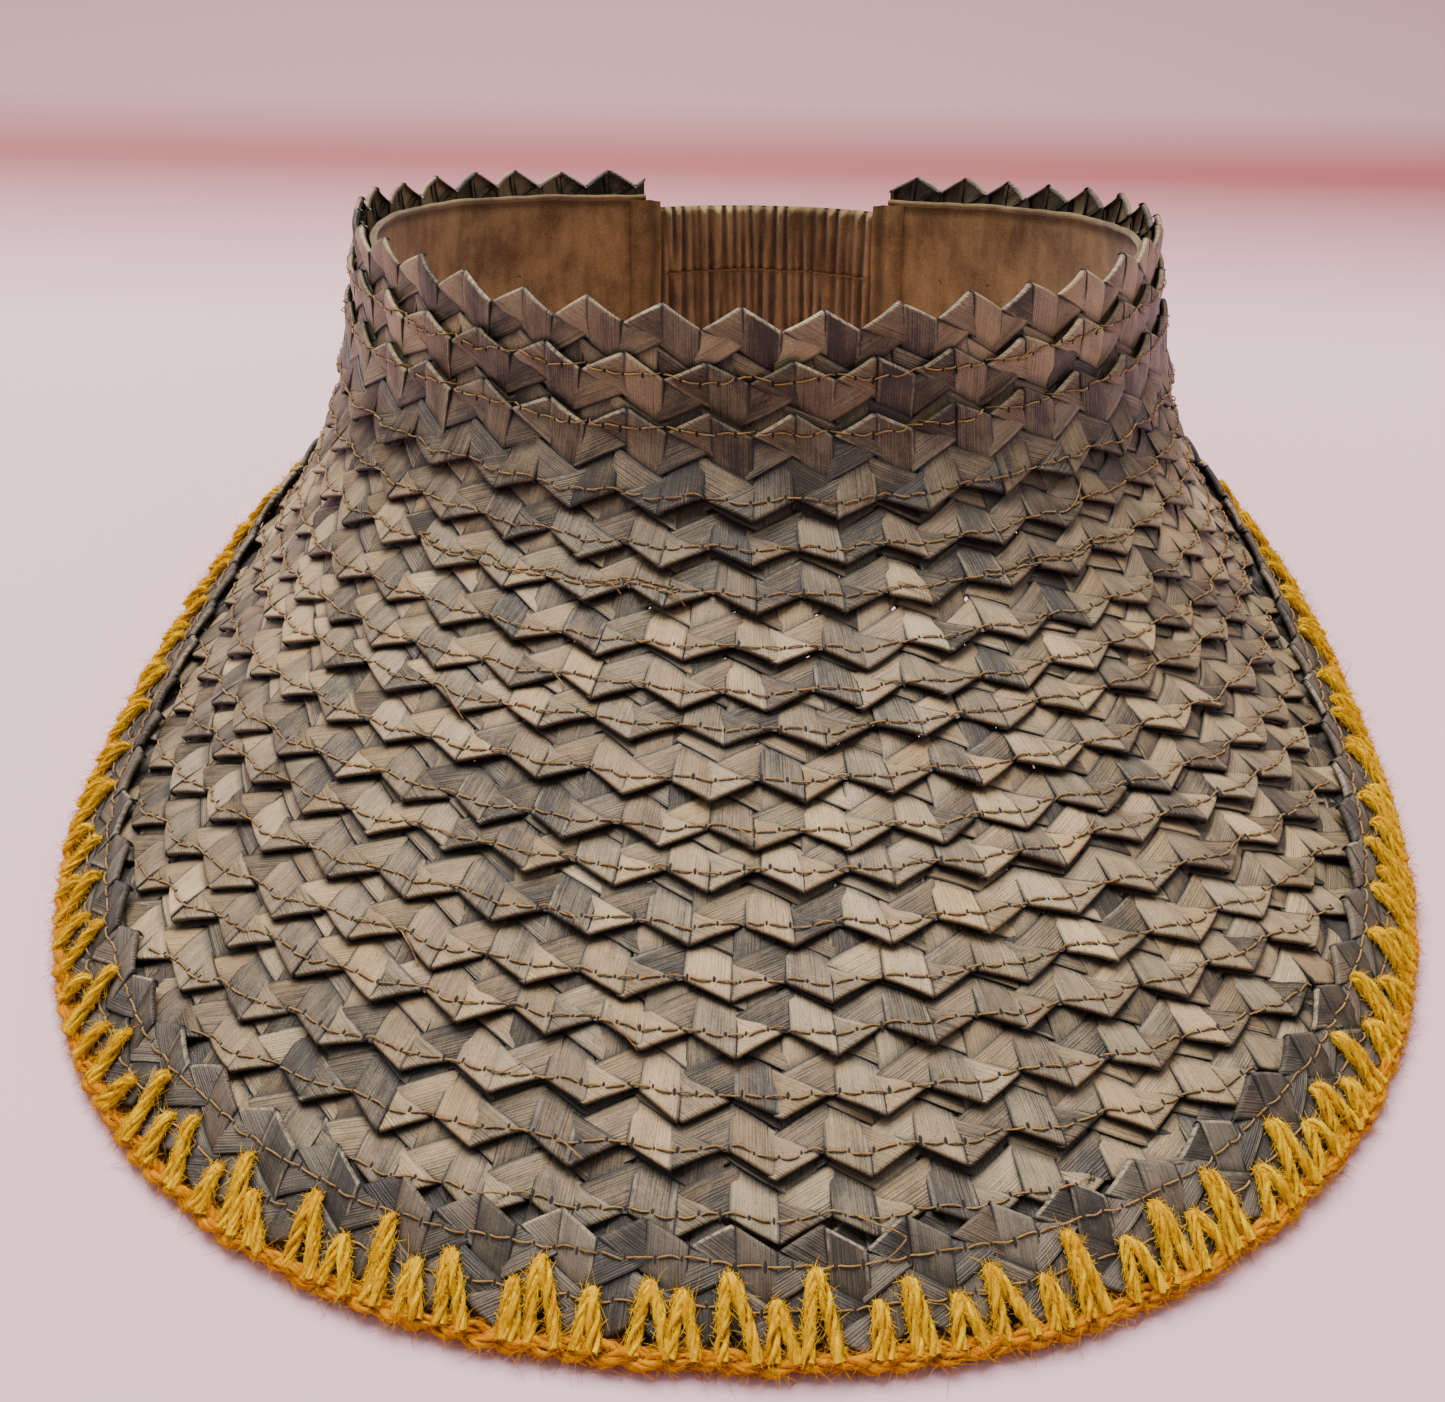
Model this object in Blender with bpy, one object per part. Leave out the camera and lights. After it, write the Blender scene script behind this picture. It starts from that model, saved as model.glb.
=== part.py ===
"""Plaited leaf sun visor: overlapping rows of toothed braid round an open crown, a lined inside,
an elastic back and a yarn edging. Metres, +Z up, the front of the brim towards -Y.

The visor's skin is one lofted surface. A point on it has a bearing (angle round the crown from the
front, radians), a run (distance down from the rim, mm) and a lift (distance outwards, mm)."""

import math

import bmesh
import bpy
import numpy as np

MM = 0.001

# ---- driving dimensions, mm -------------------------------------------------------------------
TOOTH_PITCH = 15.0
TOOTH_HEIGHT = 0.27 * TOOTH_PITCH
BRAID_THICKNESS = 1.0
BRAID_GAP = 0.35
BRAID_HIDDEN = 17.5  # from a row's tips to its covered edge
TOP_ROW_STEPS = (0.0, 9.5, 19.5)  # runs of the upward teeth of the three crown rows
COLLAR_WIDTH = 20.3  # third row, tip to tip
BRIM_STEP = 9.05  # exposed depth of each brim row
BRIM_ROWS = range(4, 18)

RIM_HALF_WIDTH = 91.5
RIM_HALF_DEPTH = 86.3
RIM_POWER = 1.95
RIM_FRONT_HEIGHT = 96.6
RIM_TILT = 0.18
RIM_SADDLE = 6.0
WALL_FRONT = math.radians(72.0)
WALL_REAR = math.radians(86.0)
WALL_STRAIGHT = 23.0

BRIM_HALF_WIDTH = 134.0
BRIM_OFFSET_X = 1.5
BRIM_CENTRE_Y = -88.0
BRIM_FRONT_DEPTH = 146.0
BRIM_REAR_DEPTH = 173.0
BRIM_FRONT_POWER = 2.3
BRIM_REAR_POWER = 2.25
BRIM_SLOPE = math.radians(24.0)
SIDE_LIFT = 11.0
LIFT_FROM = math.radians(45.0)

REAR_BEARING = math.radians(157.5)  # where the crown ends at the rim
REAR_RAKE = math.radians(0.08)  # the ends lean outwards by this for each mm of run

CORD_RADIUS = 2.2
EDGE_BRAID_WIDTH = 20.3
ROWS_END = 9.0  # the brim rows run in under the edge braid to this far from the edge
ROW_SPARE = 3.0  # a brim row ends where less than this is left of its depth
EDGE_MIDDLE = 8.0  # distance in from the edge at which the edge braid's teeth are spaced
THREAD_RADIUS = 0.35
THREAD_INSET = 4.6  # from a row's tips to its stitching
LONG_STITCH = 11.0
SHORT_STITCH = 6.5
STITCH_THICKNESS = 1.6

LINING_TOP = 5.5
LINING_BOTTOM = 46.0
LINING_THICKNESS = 0.8
CASING_TOP = 7.5
CASING_HEIGHT = 40.0
CASING_THICKNESS = 0.8
CASING_ROOM = 2.4
ELASTIC_HEIGHT = 15.0
ELASTIC_THICKNESS = 1.2

# ---- worked out from them ---------------------------------------------------------------------
BRIM_TILT = (BRAID_THICKNESS + BRAID_GAP) / BRIM_STEP
CROWN_TILT = (BRAID_THICKNESS + BRAID_GAP) / (TOP_ROW_STEPS[1] - TOP_ROW_STEPS[0])
COLLAR_TIP = TOP_ROW_STEPS[2] + COLLAR_WIDTH
EDGE_LIFT = BRAID_THICKNESS + BRAID_GAP + 0.1
DEEPEST_LIFT = -BRAID_HIDDEN * BRIM_TILT - BRAID_THICKNESS / 2
LINING_LIFT = DEEPEST_LIFT - BRAID_GAP - 0.4 - LINING_THICKNESS / 2
EDGE_HEIGHT = CORD_RADIUS * math.cos(math.radians(30.0))

SAMPLES = 900
LOFT_STEPS = 48


# ---- the lofted surface -----------------------------------------------------------------------
def rim_points(bearing):
    """The rim, a rounded oval that tips down to the rear and rises a little at the sides."""
    sine = np.sin(bearing)
    cosine = np.cos(bearing)
    scale = (np.abs(sine) ** RIM_POWER + np.abs(cosine) ** RIM_POWER) ** (-1.0 / RIM_POWER)
    x = RIM_HALF_WIDTH * scale * sine
    y = -RIM_HALF_DEPTH * scale * cosine
    z = RIM_FRONT_HEIGHT - RIM_TILT * (y + RIM_HALF_DEPTH) + RIM_SADDLE * sine**2
    return np.stack([x, y, z], axis=-1)


def edge_points(bearing):
    """The brim's outer edge: an egg shape in plan, lifted off the table at the sides."""
    near = np.zeros_like(bearing)
    far = np.full_like(bearing, 400.0)
    for _ in range(40):
        middle = (near + far) / 2
        x = np.abs(middle * np.sin(bearing) - BRIM_OFFSET_X)
        y = -middle * np.cos(bearing) - BRIM_CENTRE_Y
        depth = np.where(y < 0, BRIM_FRONT_DEPTH, BRIM_REAR_DEPTH)
        power = np.where(y < 0, BRIM_FRONT_POWER, BRIM_REAR_POWER)
        inside = (x / BRIM_HALF_WIDTH) ** power + (np.abs(y) / depth) ** power < 1
        near = np.where(inside, middle, near)
        far = np.where(inside, far, middle)
    along = np.clip((np.abs(bearing) - LIFT_FROM) / (REAR_BEARING - LIFT_FROM), 0, 1)
    z = EDGE_HEIGHT + SIDE_LIFT * np.sin(math.pi * along) ** 2
    return np.stack([near * np.sin(bearing), -near * np.cos(bearing), z], axis=-1)


def meridians(bearing):
    """For each bearing, points from above the rim to beyond the edge, and their runs."""
    rim = rim_points(bearing)
    edge = edge_points(bearing)
    plan = (edge - rim)[:, :2]
    plan = plan / np.linalg.norm(plan, axis=1, keepdims=True)
    turn = np.abs(np.sin(bearing / 2))
    wall = WALL_FRONT + (WALL_REAR - WALL_FRONT) * turn**2
    slope = BRIM_SLOPE + (WALL_REAR - BRIM_SLOPE) * turn**4
    down_wall = np.column_stack([plan * np.cos(wall)[:, None], -np.sin(wall)])
    down_brim = np.column_stack([plan * np.cos(slope)[:, None], -np.sin(slope)])
    start = rim + down_wall * WALL_STRAIGHT
    chord = np.linalg.norm(edge - start, axis=1)
    first = start + down_wall * (chord * (0.16 + 0.22 * turn))[:, None]
    second = edge - down_brim * (chord * (0.45 - 0.10 * turn))[:, None]
    t = np.linspace(0, 1, LOFT_STEPS)[None, :, None]
    curve = (
        (1 - t) ** 3 * start[:, None]
        + 3 * (1 - t) ** 2 * t * first[:, None]
        + 3 * (1 - t) * t**2 * second[:, None]
        + t**3 * edge[:, None]
    )
    above = (rim - 10 * down_wall)[:, None]
    beyond = (edge + 20 * down_brim)[:, None]
    points = np.concatenate([above, rim[:, None], curve, beyond], axis=1)
    steps = np.linalg.norm(np.diff(points, axis=1), axis=2)
    runs = np.concatenate([np.zeros((len(bearing), 1)), np.cumsum(steps, axis=1)], axis=1) - 10
    return points, runs


def edge_runs(bearing):
    """The run of the brim's outer edge at each bearing."""
    return meridians(bearing)[1][:, -2]


def skin(bearing, run, lift):
    """Points at these bearings, runs and lifts."""
    bearing = np.asarray(bearing, float)
    run = np.asarray(run, float)

    def on_surface(angles, distances):
        points, runs = meridians(angles)
        return np.array(
            [
                [np.interp(d, r, p[:, axis]) for axis in range(3)]
                for d, r, p in zip(distances, runs, points)
            ]
        )

    here = on_surface(bearing, run)
    across = on_surface(bearing + 0.01, run) - on_surface(bearing - 0.01, run)
    down = on_surface(bearing, run + 1.5) - on_surface(bearing, run - 1.5)
    outwards = np.cross(down, across)
    outwards /= np.linalg.norm(outwards, axis=1, keepdims=True)
    return here + outwards * np.asarray(lift, float)[:, None]


def row_bearings(run_at, end, spacing, phase):
    """Bearings along a row at equal distances, from -end towards end."""
    fine = np.linspace(-end, end, SAMPLES)
    line = skin(fine, run_at(fine), np.zeros(SAMPLES))
    travelled = np.concatenate([[0], np.cumsum(np.linalg.norm(np.diff(line, axis=0), axis=1))])
    places = np.arange(phase * spacing, travelled[-1], spacing)
    return np.interp(places, travelled, fine)


def rear_end(run):
    """The bearing at which the crown ends at this run."""
    return REAR_BEARING - REAR_RAKE * run


# ---- making objects ---------------------------------------------------------------------------
for old in list(bpy.data.objects):
    bpy.data.objects.remove(old, do_unlink=True)
for old in list(bpy.data.collections):
    bpy.data.collections.remove(old)

part = bpy.data.collections.new("sun_visor")
bpy.context.scene.collection.children.link(part)


def material(name, colour, roughness):
    """A plain material of one colour."""
    made = bpy.data.materials.new(name)
    made.use_nodes = True
    shader = made.node_tree.nodes["Principled BSDF"]
    shader.inputs["Base Color"].default_value = (*colour, 1.0)
    shader.inputs["Roughness"].default_value = roughness
    return made


def add_object(name, bm, colour, roughness, smooth=False):
    """Turns a bmesh into a named object with its own material."""
    mesh = bpy.data.meshes.new(name)
    bmesh.ops.recalc_face_normals(bm, faces=bm.faces)
    for face in bm.faces:
        face.smooth = smooth
    bm.to_mesh(mesh)
    bm.free()
    obj = bpy.data.objects.new(name, mesh)
    obj.data.materials.append(material(name + "_mat", colour, roughness))
    part.objects.link(obj)
    return obj


def sheet_bmesh(inner, outer):
    """A closed slab between two grids of points of the same shape (columns, rows, 3)."""
    columns, rows = inner.shape[:2]
    bm = bmesh.new()
    bmesh.ops.create_grid(bm, x_segments=rows - 1, y_segments=columns - 1, size=1.0)
    bm.verts.ensure_lookup_table()
    lower = list(bm.verts)
    rim = [edge for edge in bm.edges if edge.is_boundary]
    bottom = list(bm.faces)
    copied = bmesh.ops.duplicate(bm, geom=lower + list(bm.edges) + bottom)
    twin = copied["vert_map"]
    upper = [twin[v] for v in lower]
    for index, (low, high) in enumerate(zip(lower, upper)):
        column, row = divmod(index, rows)
        low.co = inner[column, row] * MM
        high.co = outer[column, row] * MM
    for edge in rim:
        a, b = edge.verts
        bm.faces.new((a, b, twin[b], twin[a]))
    return bm


def strip(name, bearings, top, bottom, lift, rows, thickness, colour, roughness):
    """A band of the skin. top, bottom: a run at each bearing. lift: function of (column, run)."""
    columns = len(bearings)
    share = np.linspace(0, 1, rows)[None, :]
    runs = top[:, None] * (1 - share) + bottom[:, None] * share
    angles = np.repeat(bearings, rows)
    lifts = lift(np.repeat(np.arange(columns), rows), runs.ravel())
    inner = skin(angles, runs.ravel(), lifts - thickness / 2).reshape(columns, rows, 3)
    outer = skin(angles, runs.ravel(), lifts + thickness / 2).reshape(columns, rows, 3)
    return add_object(name, sheet_bmesh(inner, outer), colour, roughness)


def saw(columns):
    """0 at tips, 1 at valleys, by turns."""
    return np.arange(columns) % 2


def tube(centres, sides, radius, turn=0.0):
    """A closed tube of a few sides round a line of points, its sections upright in plan."""
    ahead = np.gradient(centres, axis=0)
    ahead[:, 2] = 0
    ahead /= np.linalg.norm(ahead, axis=1, keepdims=True)
    out = np.column_stack([ahead[:, 1], -ahead[:, 0], np.zeros(len(ahead))])
    bm = bmesh.new()
    rings = []
    for centre, side in zip(centres, out):
        ring = []
        for step in range(sides):
            angle = turn + 2 * math.pi * step / sides
            point = centre + radius * (math.cos(angle) * side + math.sin(angle) * np.array([0, 0, 1.0]))
            ring.append(bm.verts.new(point * MM))
        rings.append(ring)
    for ring, following in zip(rings, rings[1:]):
        for step in range(sides):
            other = (step + 1) % sides
            bm.faces.new((ring[step], ring[other], following[other], following[step]))
    bm.faces.new(rings[0])
    bm.faces.new(list(reversed(rings[-1])))
    return bm, rings


# ---- braid rows -------------------------------------------------------------------------------
LEAF = (0.17, 0.13, 0.09)
THREAD = (0.51, 0.26, 0.06)
YARN = (0.83, 0.48, 0.01)
CLOTH = (0.19, 0.09, 0.026)


def leaf_shade(number):
    """The leaf colour, a little lighter or darker from row to row."""
    factor = 0.85 + 0.3 * ((number * 0.37) % 1.0)
    return tuple(channel * factor for channel in LEAF)


def phase_of(number):
    """Where a row's first tooth falls, different from row to row."""
    return (number * 0.61) % 1.0


def crown_row(number):
    """A crown row with its teeth up. The third has teeth both ways and lies over its neighbours."""
    peak = TOP_ROW_STEPS[number - 1]
    is_collar = number == 3
    middle = peak + BRAID_HIDDEN / 2
    bearings = row_bearings(
        lambda b: np.full_like(b, middle), rear_end(middle), TOOTH_PITCH / 2, phase_of(number)
    )
    notch = saw(len(bearings)) * TOOTH_HEIGHT
    top = peak + notch
    if is_collar:
        bottom = COLLAR_TIP - notch

        def lift(column, run):
            return np.zeros_like(run)

    else:
        bottom = np.full(len(bearings), peak + BRAID_HIDDEN)

        def lift(column, run):
            return -CROWN_TILT * (run - peak)

    name = "crown_braid_%02d" % number
    strip(name, bearings, top, bottom, lift, 3, BRAID_THICKNESS, leaf_shade(number), 0.6)


def brim_tip(number):
    """The run of the tips of a brim row."""
    return COLLAR_TIP + BRIM_STEP * (number - 3)


def brim_row_end(number):
    """The bearing at which a brim row has run in under the edge braid."""
    covered = brim_tip(number) - BRAID_HIDDEN
    angles = np.linspace(0, rear_end(covered), 400)
    room = edge_runs(angles) - ROWS_END - covered - ROW_SPARE
    return angles[room > 0][-1]


def brim_row(number):
    """A brim row with its teeth down, lying over the next row out."""
    tip = brim_tip(number)
    end = brim_row_end(number)
    bearings = row_bearings(
        lambda b: np.full_like(b, tip - THREAD_INSET), end, TOOTH_PITCH / 2, phase_of(number)
    )
    limit = edge_runs(bearings) - ROWS_END
    bottom = np.minimum(tip - saw(len(bearings)) * TOOTH_HEIGHT, limit)
    top = np.full(len(bearings), tip - BRAID_HIDDEN)

    def lift(column, run):
        return -BRIM_TILT * (tip - run)

    name = "brim_braid_%02d" % number
    strip(name, bearings, top, bottom, lift, 3, BRAID_THICKNESS, leaf_shade(number), 0.6)


def edge_braid_lift(inwards):
    """The edge braid's lift at a distance in from the edge: clear of the row ends, then lower."""
    return np.interp(inwards, [0.0, ROWS_END + 0.8], [0.3, EDGE_LIFT])


def edge_line(inwards, end, spacing, phase):
    """Bearings at equal distances along the edge, and the runs that far in from it."""
    bearings = row_bearings(lambda b: edge_runs(b) - EDGE_MIDDLE, end, spacing, phase)
    return bearings, edge_runs(bearings) - inwards


def edge_braid():
    """The braid along the whole edge, its teeth inwards, on top of the ends of the rows."""
    bearings, outer = edge_line(0.0, rear_end(60.0), TOOTH_PITCH / 2, 0.5)
    inner = outer - EDGE_BRAID_WIDTH + saw(len(bearings)) * TOOTH_HEIGHT

    def lift(column, run):
        return edge_braid_lift(outer[column] - run)

    strip("edge_braid_18", bearings, inner, outer, lift, 3, BRAID_THICKNESS, (0.14, 0.11, 0.08), 0.6)


for row in (1, 2, 3):
    crown_row(row)
for row in BRIM_ROWS:
    brim_row(row)
edge_braid()


# ---- stitching --------------------------------------------------------------------------------
THREAD_CLEAR = BRAID_THICKNESS / 2 + 0.3 + THREAD_RADIUS + 0.35


def thread(name, bearings, runs, lifts):
    """A line of stitching just proud of the braid that it holds."""
    bm, _ = tube(skin(bearings, runs, lifts), 3, THREAD_RADIUS, math.pi / 2)
    add_object(name, bm, THREAD, 0.5)


def thread_round(name, run, end, lift):
    """Stitching at one run, as far as this bearing."""
    bearings = row_bearings(lambda b: np.full_like(b, run), end, TOOTH_PITCH, 0.4)
    thread(name, bearings, np.full(len(bearings), run), np.full(len(bearings), lift))


second_row_run = TOP_ROW_STEPS[1] + THREAD_INSET
thread_round(
    "thread_02", second_row_run, rear_end(second_row_run), THREAD_CLEAR - CROWN_TILT * THREAD_INSET
)
collar_run = TOP_ROW_STEPS[2] + THREAD_INSET
thread_round("thread_03_upper", collar_run, rear_end(collar_run), THREAD_CLEAR)
collar_run = COLLAR_TIP - THREAD_INSET
thread_round("thread_03_lower", collar_run, rear_end(collar_run), THREAD_CLEAR)


def brim_thread(number):
    """Stitching along a brim row, ending before the edge braid covers it."""
    run = brim_tip(number) - THREAD_INSET
    angles = np.linspace(0, rear_end(run), 400)
    end = angles[edge_runs(angles) - EDGE_BRAID_WIDTH - 1.0 - run > 0][-1]
    thread_round("thread_%02d" % number, run, end, THREAD_CLEAR - BRIM_TILT * THREAD_INSET)


for row in BRIM_ROWS:
    brim_thread(row)

for label, inwards in (("inner", EDGE_BRAID_WIDTH - THREAD_INSET - 0.4), ("outer", LONG_STITCH + 1.6)):
    line, runs_in = edge_line(inwards, rear_end(62.0), TOOTH_PITCH, 0.5)
    clear = float(edge_braid_lift(inwards)) + THREAD_CLEAR
    thread("thread_18_" + label, line, runs_in, np.full(len(line), clear))


# ---- yarn edging ------------------------------------------------------------------------------
def yarn_edging():
    """One yarn: a cord along the edge, flat where it rests, with stitches laid in over the braid."""
    bearings, outer = edge_line(0.0, rear_end(61.0), TOOTH_PITCH / 2, 0.5)
    centres = edge_points(bearings)
    ahead = np.gradient(centres, axis=0)
    away = np.column_stack([ahead[:, 1], -ahead[:, 0], np.zeros(len(ahead))])
    away /= np.linalg.norm(away, axis=1, keepdims=True)
    centres = centres + away * (CORD_RADIUS + 0.9)
    centres[:, 2] = np.maximum(centres[:, 2], EDGE_HEIGHT)
    bm, rings = tube(centres, 6, CORD_RADIUS)
    bm.faces.ensure_lookup_table()
    roots = [bm.faces[column * 6 + 2] for column in range(len(rings) - 1)]
    bmesh.ops.recalc_face_normals(bm, faces=bm.faces)
    for column, root in enumerate(roots):
        length = LONG_STITCH if column % 2 else SHORT_STITCH
        middle = (bearings[column] + bearings[column + 1]) / 2
        bmesh.ops.inset_individual(bm, faces=[root], thickness=0.0004, use_even_offset=True)
        narrow(root, 0.26)
        last = root
        for inwards in (1.2, length):
            last = bmesh.ops.extrude_discrete_faces(bm, faces=[last])["faces"][0]
            place_stitch(last, middle, inwards)
    add_object("yarn_edging", bm, YARN, 0.9)


def corner_reaches(face):
    """A face's longest direction, and how far each of its corners lies along it."""
    corners = list(face.verts)
    middle = sum((v.co for v in corners), corners[0].co * 0) / len(corners)
    longest = max(face.edges, key=lambda e: e.calc_length())
    along = (longest.verts[1].co - longest.verts[0].co).normalized()
    return along, [(corner, (corner.co - middle).dot(along)) for corner in corners]


def narrow(face, share):
    """Draws a face's two ends together along the edge."""
    along, reaches = corner_reaches(face)
    for corner, reach in reaches:
        corner.co = corner.co - along * reach * (1 - share)


def place_stitch(face, bearing, inwards):
    """Sets a stitch's end section across the braid, this far in from the edge."""
    run = edge_runs(np.array([bearing]))[0] - inwards
    base = float(edge_braid_lift(inwards)) + BRAID_THICKNESS / 2 + 1.25
    low, high = skin([bearing, bearing], [run, run], [base, base + STITCH_THICKNESS]) * MM
    along, reaches = corner_reaches(face)
    lower_corners = sorted(face.verts, key=lambda v: v.co.z)[:2]
    for corner, reach in reaches:
        target = low if corner in lower_corners else high
        corner.co = tuple(target)
        corner.co = corner.co + along * reach


yarn_edging()


# ---- lining -----------------------------------------------------------------------------------
lining_line = row_bearings(lambda b: np.full_like(b, 20.0), rear_end(20.0) - 0.012, 11.0, 0.02)
strip(
    "crown_lining",
    lining_line,
    np.full(len(lining_line), LINING_TOP),
    np.full(len(lining_line), LINING_BOTTOM),
    lambda column, run: np.full_like(run, LINING_LIFT),
    6,
    LINING_THICKNESS,
    CLOTH,
    0.95,
)


# ---- elastic back -----------------------------------------------------------------------------
CASING_LIFT = LINING_LIFT - 0.6
BACK_LEAN = 1.0 / math.tan(WALL_REAR)


def back_line(count, half_angle):
    """Plan points of the gap between the crown's ends, with the way out from the head."""
    turn = np.linspace(-half_angle, half_angle, count)
    rim = rim_points(math.pi + turn)
    out = np.column_stack([np.sin(math.pi + turn), -np.cos(math.pi + turn), np.zeros(count)])
    return rim + out * CASING_LIFT, out


def back_band(name, profile, count, half_angle, colour, roughness):
    """A band across the gap. profile: closed section of (distance out, drop below the rim)."""
    line, out = back_line(count, half_angle)
    line[:, 2] = line[:, 2].mean()
    bm = bmesh.new()
    rings = []
    for centre, away in zip(line, out):
        ring = []
        for distance, drop in profile:
            point = centre + away * (distance + drop * BACK_LEAN) - np.array([0, 0, drop])
            ring.append(bm.verts.new(point * MM))
        rings.append(ring)
    size = len(profile)
    for ring, following in zip(rings, rings[1:]):
        for step in range(size):
            other = (step + 1) % size
            bm.faces.new((ring[step], ring[other], following[other], following[step]))
    bm.faces.new(rings[0])
    bm.faces.new(list(reversed(rings[-1])))
    return add_object(name, bm, colour, roughness)


BACK_ANGLE = math.pi - REAR_BEARING - 0.03
half_room = CASING_ROOM / 2
half_width = half_room + CASING_THICKNESS
casing_foot = CASING_TOP + CASING_HEIGHT
casing_section = [
    (-half_width, CASING_TOP),
    (half_width, CASING_TOP),
    (half_width, casing_foot),
    (half_room, casing_foot),
    (half_room, CASING_TOP + CASING_THICKNESS),
    (-half_room, CASING_TOP + CASING_THICKNESS),
    (-half_room, casing_foot),
    (-half_width, casing_foot),
]
back_band("elastic_casing", casing_section, 15, BACK_ANGLE, CLOTH, 0.95)


def elastic(name, top):
    """A flat elastic inside the casing."""
    half = ELASTIC_THICKNESS / 2
    foot = top + ELASTIC_HEIGHT
    section = [(-half, top), (half, top), (half, foot), (-half, foot)]
    back_band(name, section, 11, BACK_ANGLE - 0.01, (0.55, 0.53, 0.48), 0.8)


channel = CASING_HEIGHT / 2
elastic("elastic_upper", CASING_TOP + CASING_THICKNESS + 2.0)
elastic("elastic_lower", CASING_TOP + channel + 2.0)

stitch_top = CASING_TOP + channel - 0.4
for label, side in (("inner", -1), ("outer", 1)):
    near = side * (half_width + 0.3)
    far = side * (half_width + 0.9)
    flat = [(near, stitch_top), (far, stitch_top), (far, stitch_top + 0.7), (near, stitch_top + 0.7)]
    back_band("casing_stitch_" + label, flat, 11, BACK_ANGLE - 0.05, THREAD, 0.5)


def side_seam(name, side):
    """The turned seam that joins the casing to the end of the lining, on the head side."""
    middle = side * rear_end(25.0)
    bearings = np.array([middle - 0.055, middle, middle + 0.055])
    strip(
        name,
        bearings,
        np.full(3, CASING_TOP + 0.5),
        np.full(3, CASING_TOP + CASING_HEIGHT - 1.0),
        lambda column, run: np.full_like(run, LINING_LIFT - 3.9),
        3,
        CASING_THICKNESS,
        CLOTH,
        0.95,
    )


side_seam("side_seam_left", -1)
side_seam("side_seam_right", 1)


# ---- put the origin under the middle of the whole visor ---------------------------------------
corners = np.array([v.co for obj in part.objects for v in obj.data.vertices])
low = corners.min(axis=0)
high = corners.max(axis=0)
shift = np.array([-(low[0] + high[0]) / 2, -(low[1] + high[1]) / 2, -low[2]])
for obj in part.objects:
    for vertex in obj.data.vertices:
        vertex.co = tuple(np.array(vertex.co) + shift)
    obj.data.update()
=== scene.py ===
"""Plaited leaf sun visor: every leaf strip, stitch and yarn strand on the lofted shape of the CAD.

Lengths are in millimetres until a mesh is made. A place on the visor is a bearing round the head,
a run down the side from the rim, and a lift away from the surface.
"""

import math

import bpy
import numpy as np
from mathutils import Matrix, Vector
from mathutils.bvhtree import BVHTree


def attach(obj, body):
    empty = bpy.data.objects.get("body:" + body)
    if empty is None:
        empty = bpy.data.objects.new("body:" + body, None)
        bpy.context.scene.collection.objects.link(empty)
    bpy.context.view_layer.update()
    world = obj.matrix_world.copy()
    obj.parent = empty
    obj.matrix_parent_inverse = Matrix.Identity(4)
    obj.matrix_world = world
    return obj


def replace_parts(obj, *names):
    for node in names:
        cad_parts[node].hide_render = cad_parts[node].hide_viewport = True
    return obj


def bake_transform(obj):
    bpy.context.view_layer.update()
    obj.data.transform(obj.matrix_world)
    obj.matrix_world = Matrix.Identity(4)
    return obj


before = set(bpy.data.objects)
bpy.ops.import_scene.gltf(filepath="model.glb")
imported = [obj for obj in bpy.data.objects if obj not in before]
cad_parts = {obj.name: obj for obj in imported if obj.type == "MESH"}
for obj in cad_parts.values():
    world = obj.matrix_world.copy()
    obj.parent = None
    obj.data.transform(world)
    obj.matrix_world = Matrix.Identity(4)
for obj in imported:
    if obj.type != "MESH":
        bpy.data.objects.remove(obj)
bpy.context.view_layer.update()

# ---- sizes shared with the CAD ------------------------------------------------------------------
RIM_CENTRE = np.array([-1.502, 76.269, 0.0])
RIM_HALF_WIDTH = 91.5
RIM_HALF_DEPTH = 86.3
RIM_POWER = 1.95
RIM_FRONT_HEIGHT = 96.6
RIM_TILT = 0.18
RIM_SADDLE = 6.0
WALL_FRONT = math.radians(72.0)
WALL_REAR = math.radians(86.0)
WALL_STRAIGHT = 23.0
BRIM_HALF_WIDTH = 134.0
BRIM_OFFSET_X = 1.5
BRIM_CENTRE_Y = -88.0
BRIM_FRONT_DEPTH = 146.0
BRIM_REAR_DEPTH = 173.0
BRIM_FRONT_POWER = 2.3
BRIM_REAR_POWER = 2.25
BRIM_SLOPE = math.radians(24.0)
SIDE_LIFT = 11.0
LIFT_FROM = math.radians(45.0)
REAR_BEARING = math.radians(157.5)
REAR_RAKE = math.radians(0.08)
EDGE_HEIGHT = 1.9
PITCH = 15.0
# row: (run of its peaks, tooth pitch, place of a tooth in pitches from the front)
CROWN_ROWS = {1: (0.0, 15.0, 0.59), 2: (9.5, 16.3, 0.17), 3: (19.5, 16.3, 0.21)}
# row: (run of its tips, tooth pitch, place of a tooth in pitches from the front)
BRIM_ROWS = {
    4: (49.2, 16.4, 0.31),
    5: (58.4, 16.4, 0.38),
    6: (69.2, 16.3, 0.61),
    7: (78.0, 16.0, 0.59),
    8: (85.5, 16.9, 0.14),
    9: (95.6, 15.6, 0.02),
    10: (105.2, 15.9, 0.50),
    11: (112.8, 15.5, 0.04),
    12: (122.4, 16.4, 0.89),
    13: (132.0, 16.3, 0.31),
    14: (140.2, 15.2, 0.47),
    15: (150.2, 15.2, 0.95),
    16: (158.9, 15.1, 0.86),
    17: (168.4, 14.9, 0.96),
}
ROWS_END = 8.0
BRIM_TILT = 0.149
CROWN_TILT = 0.142
LINING_LIFT = -4.3
TABLE_CLEARANCE = 0.15


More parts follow.
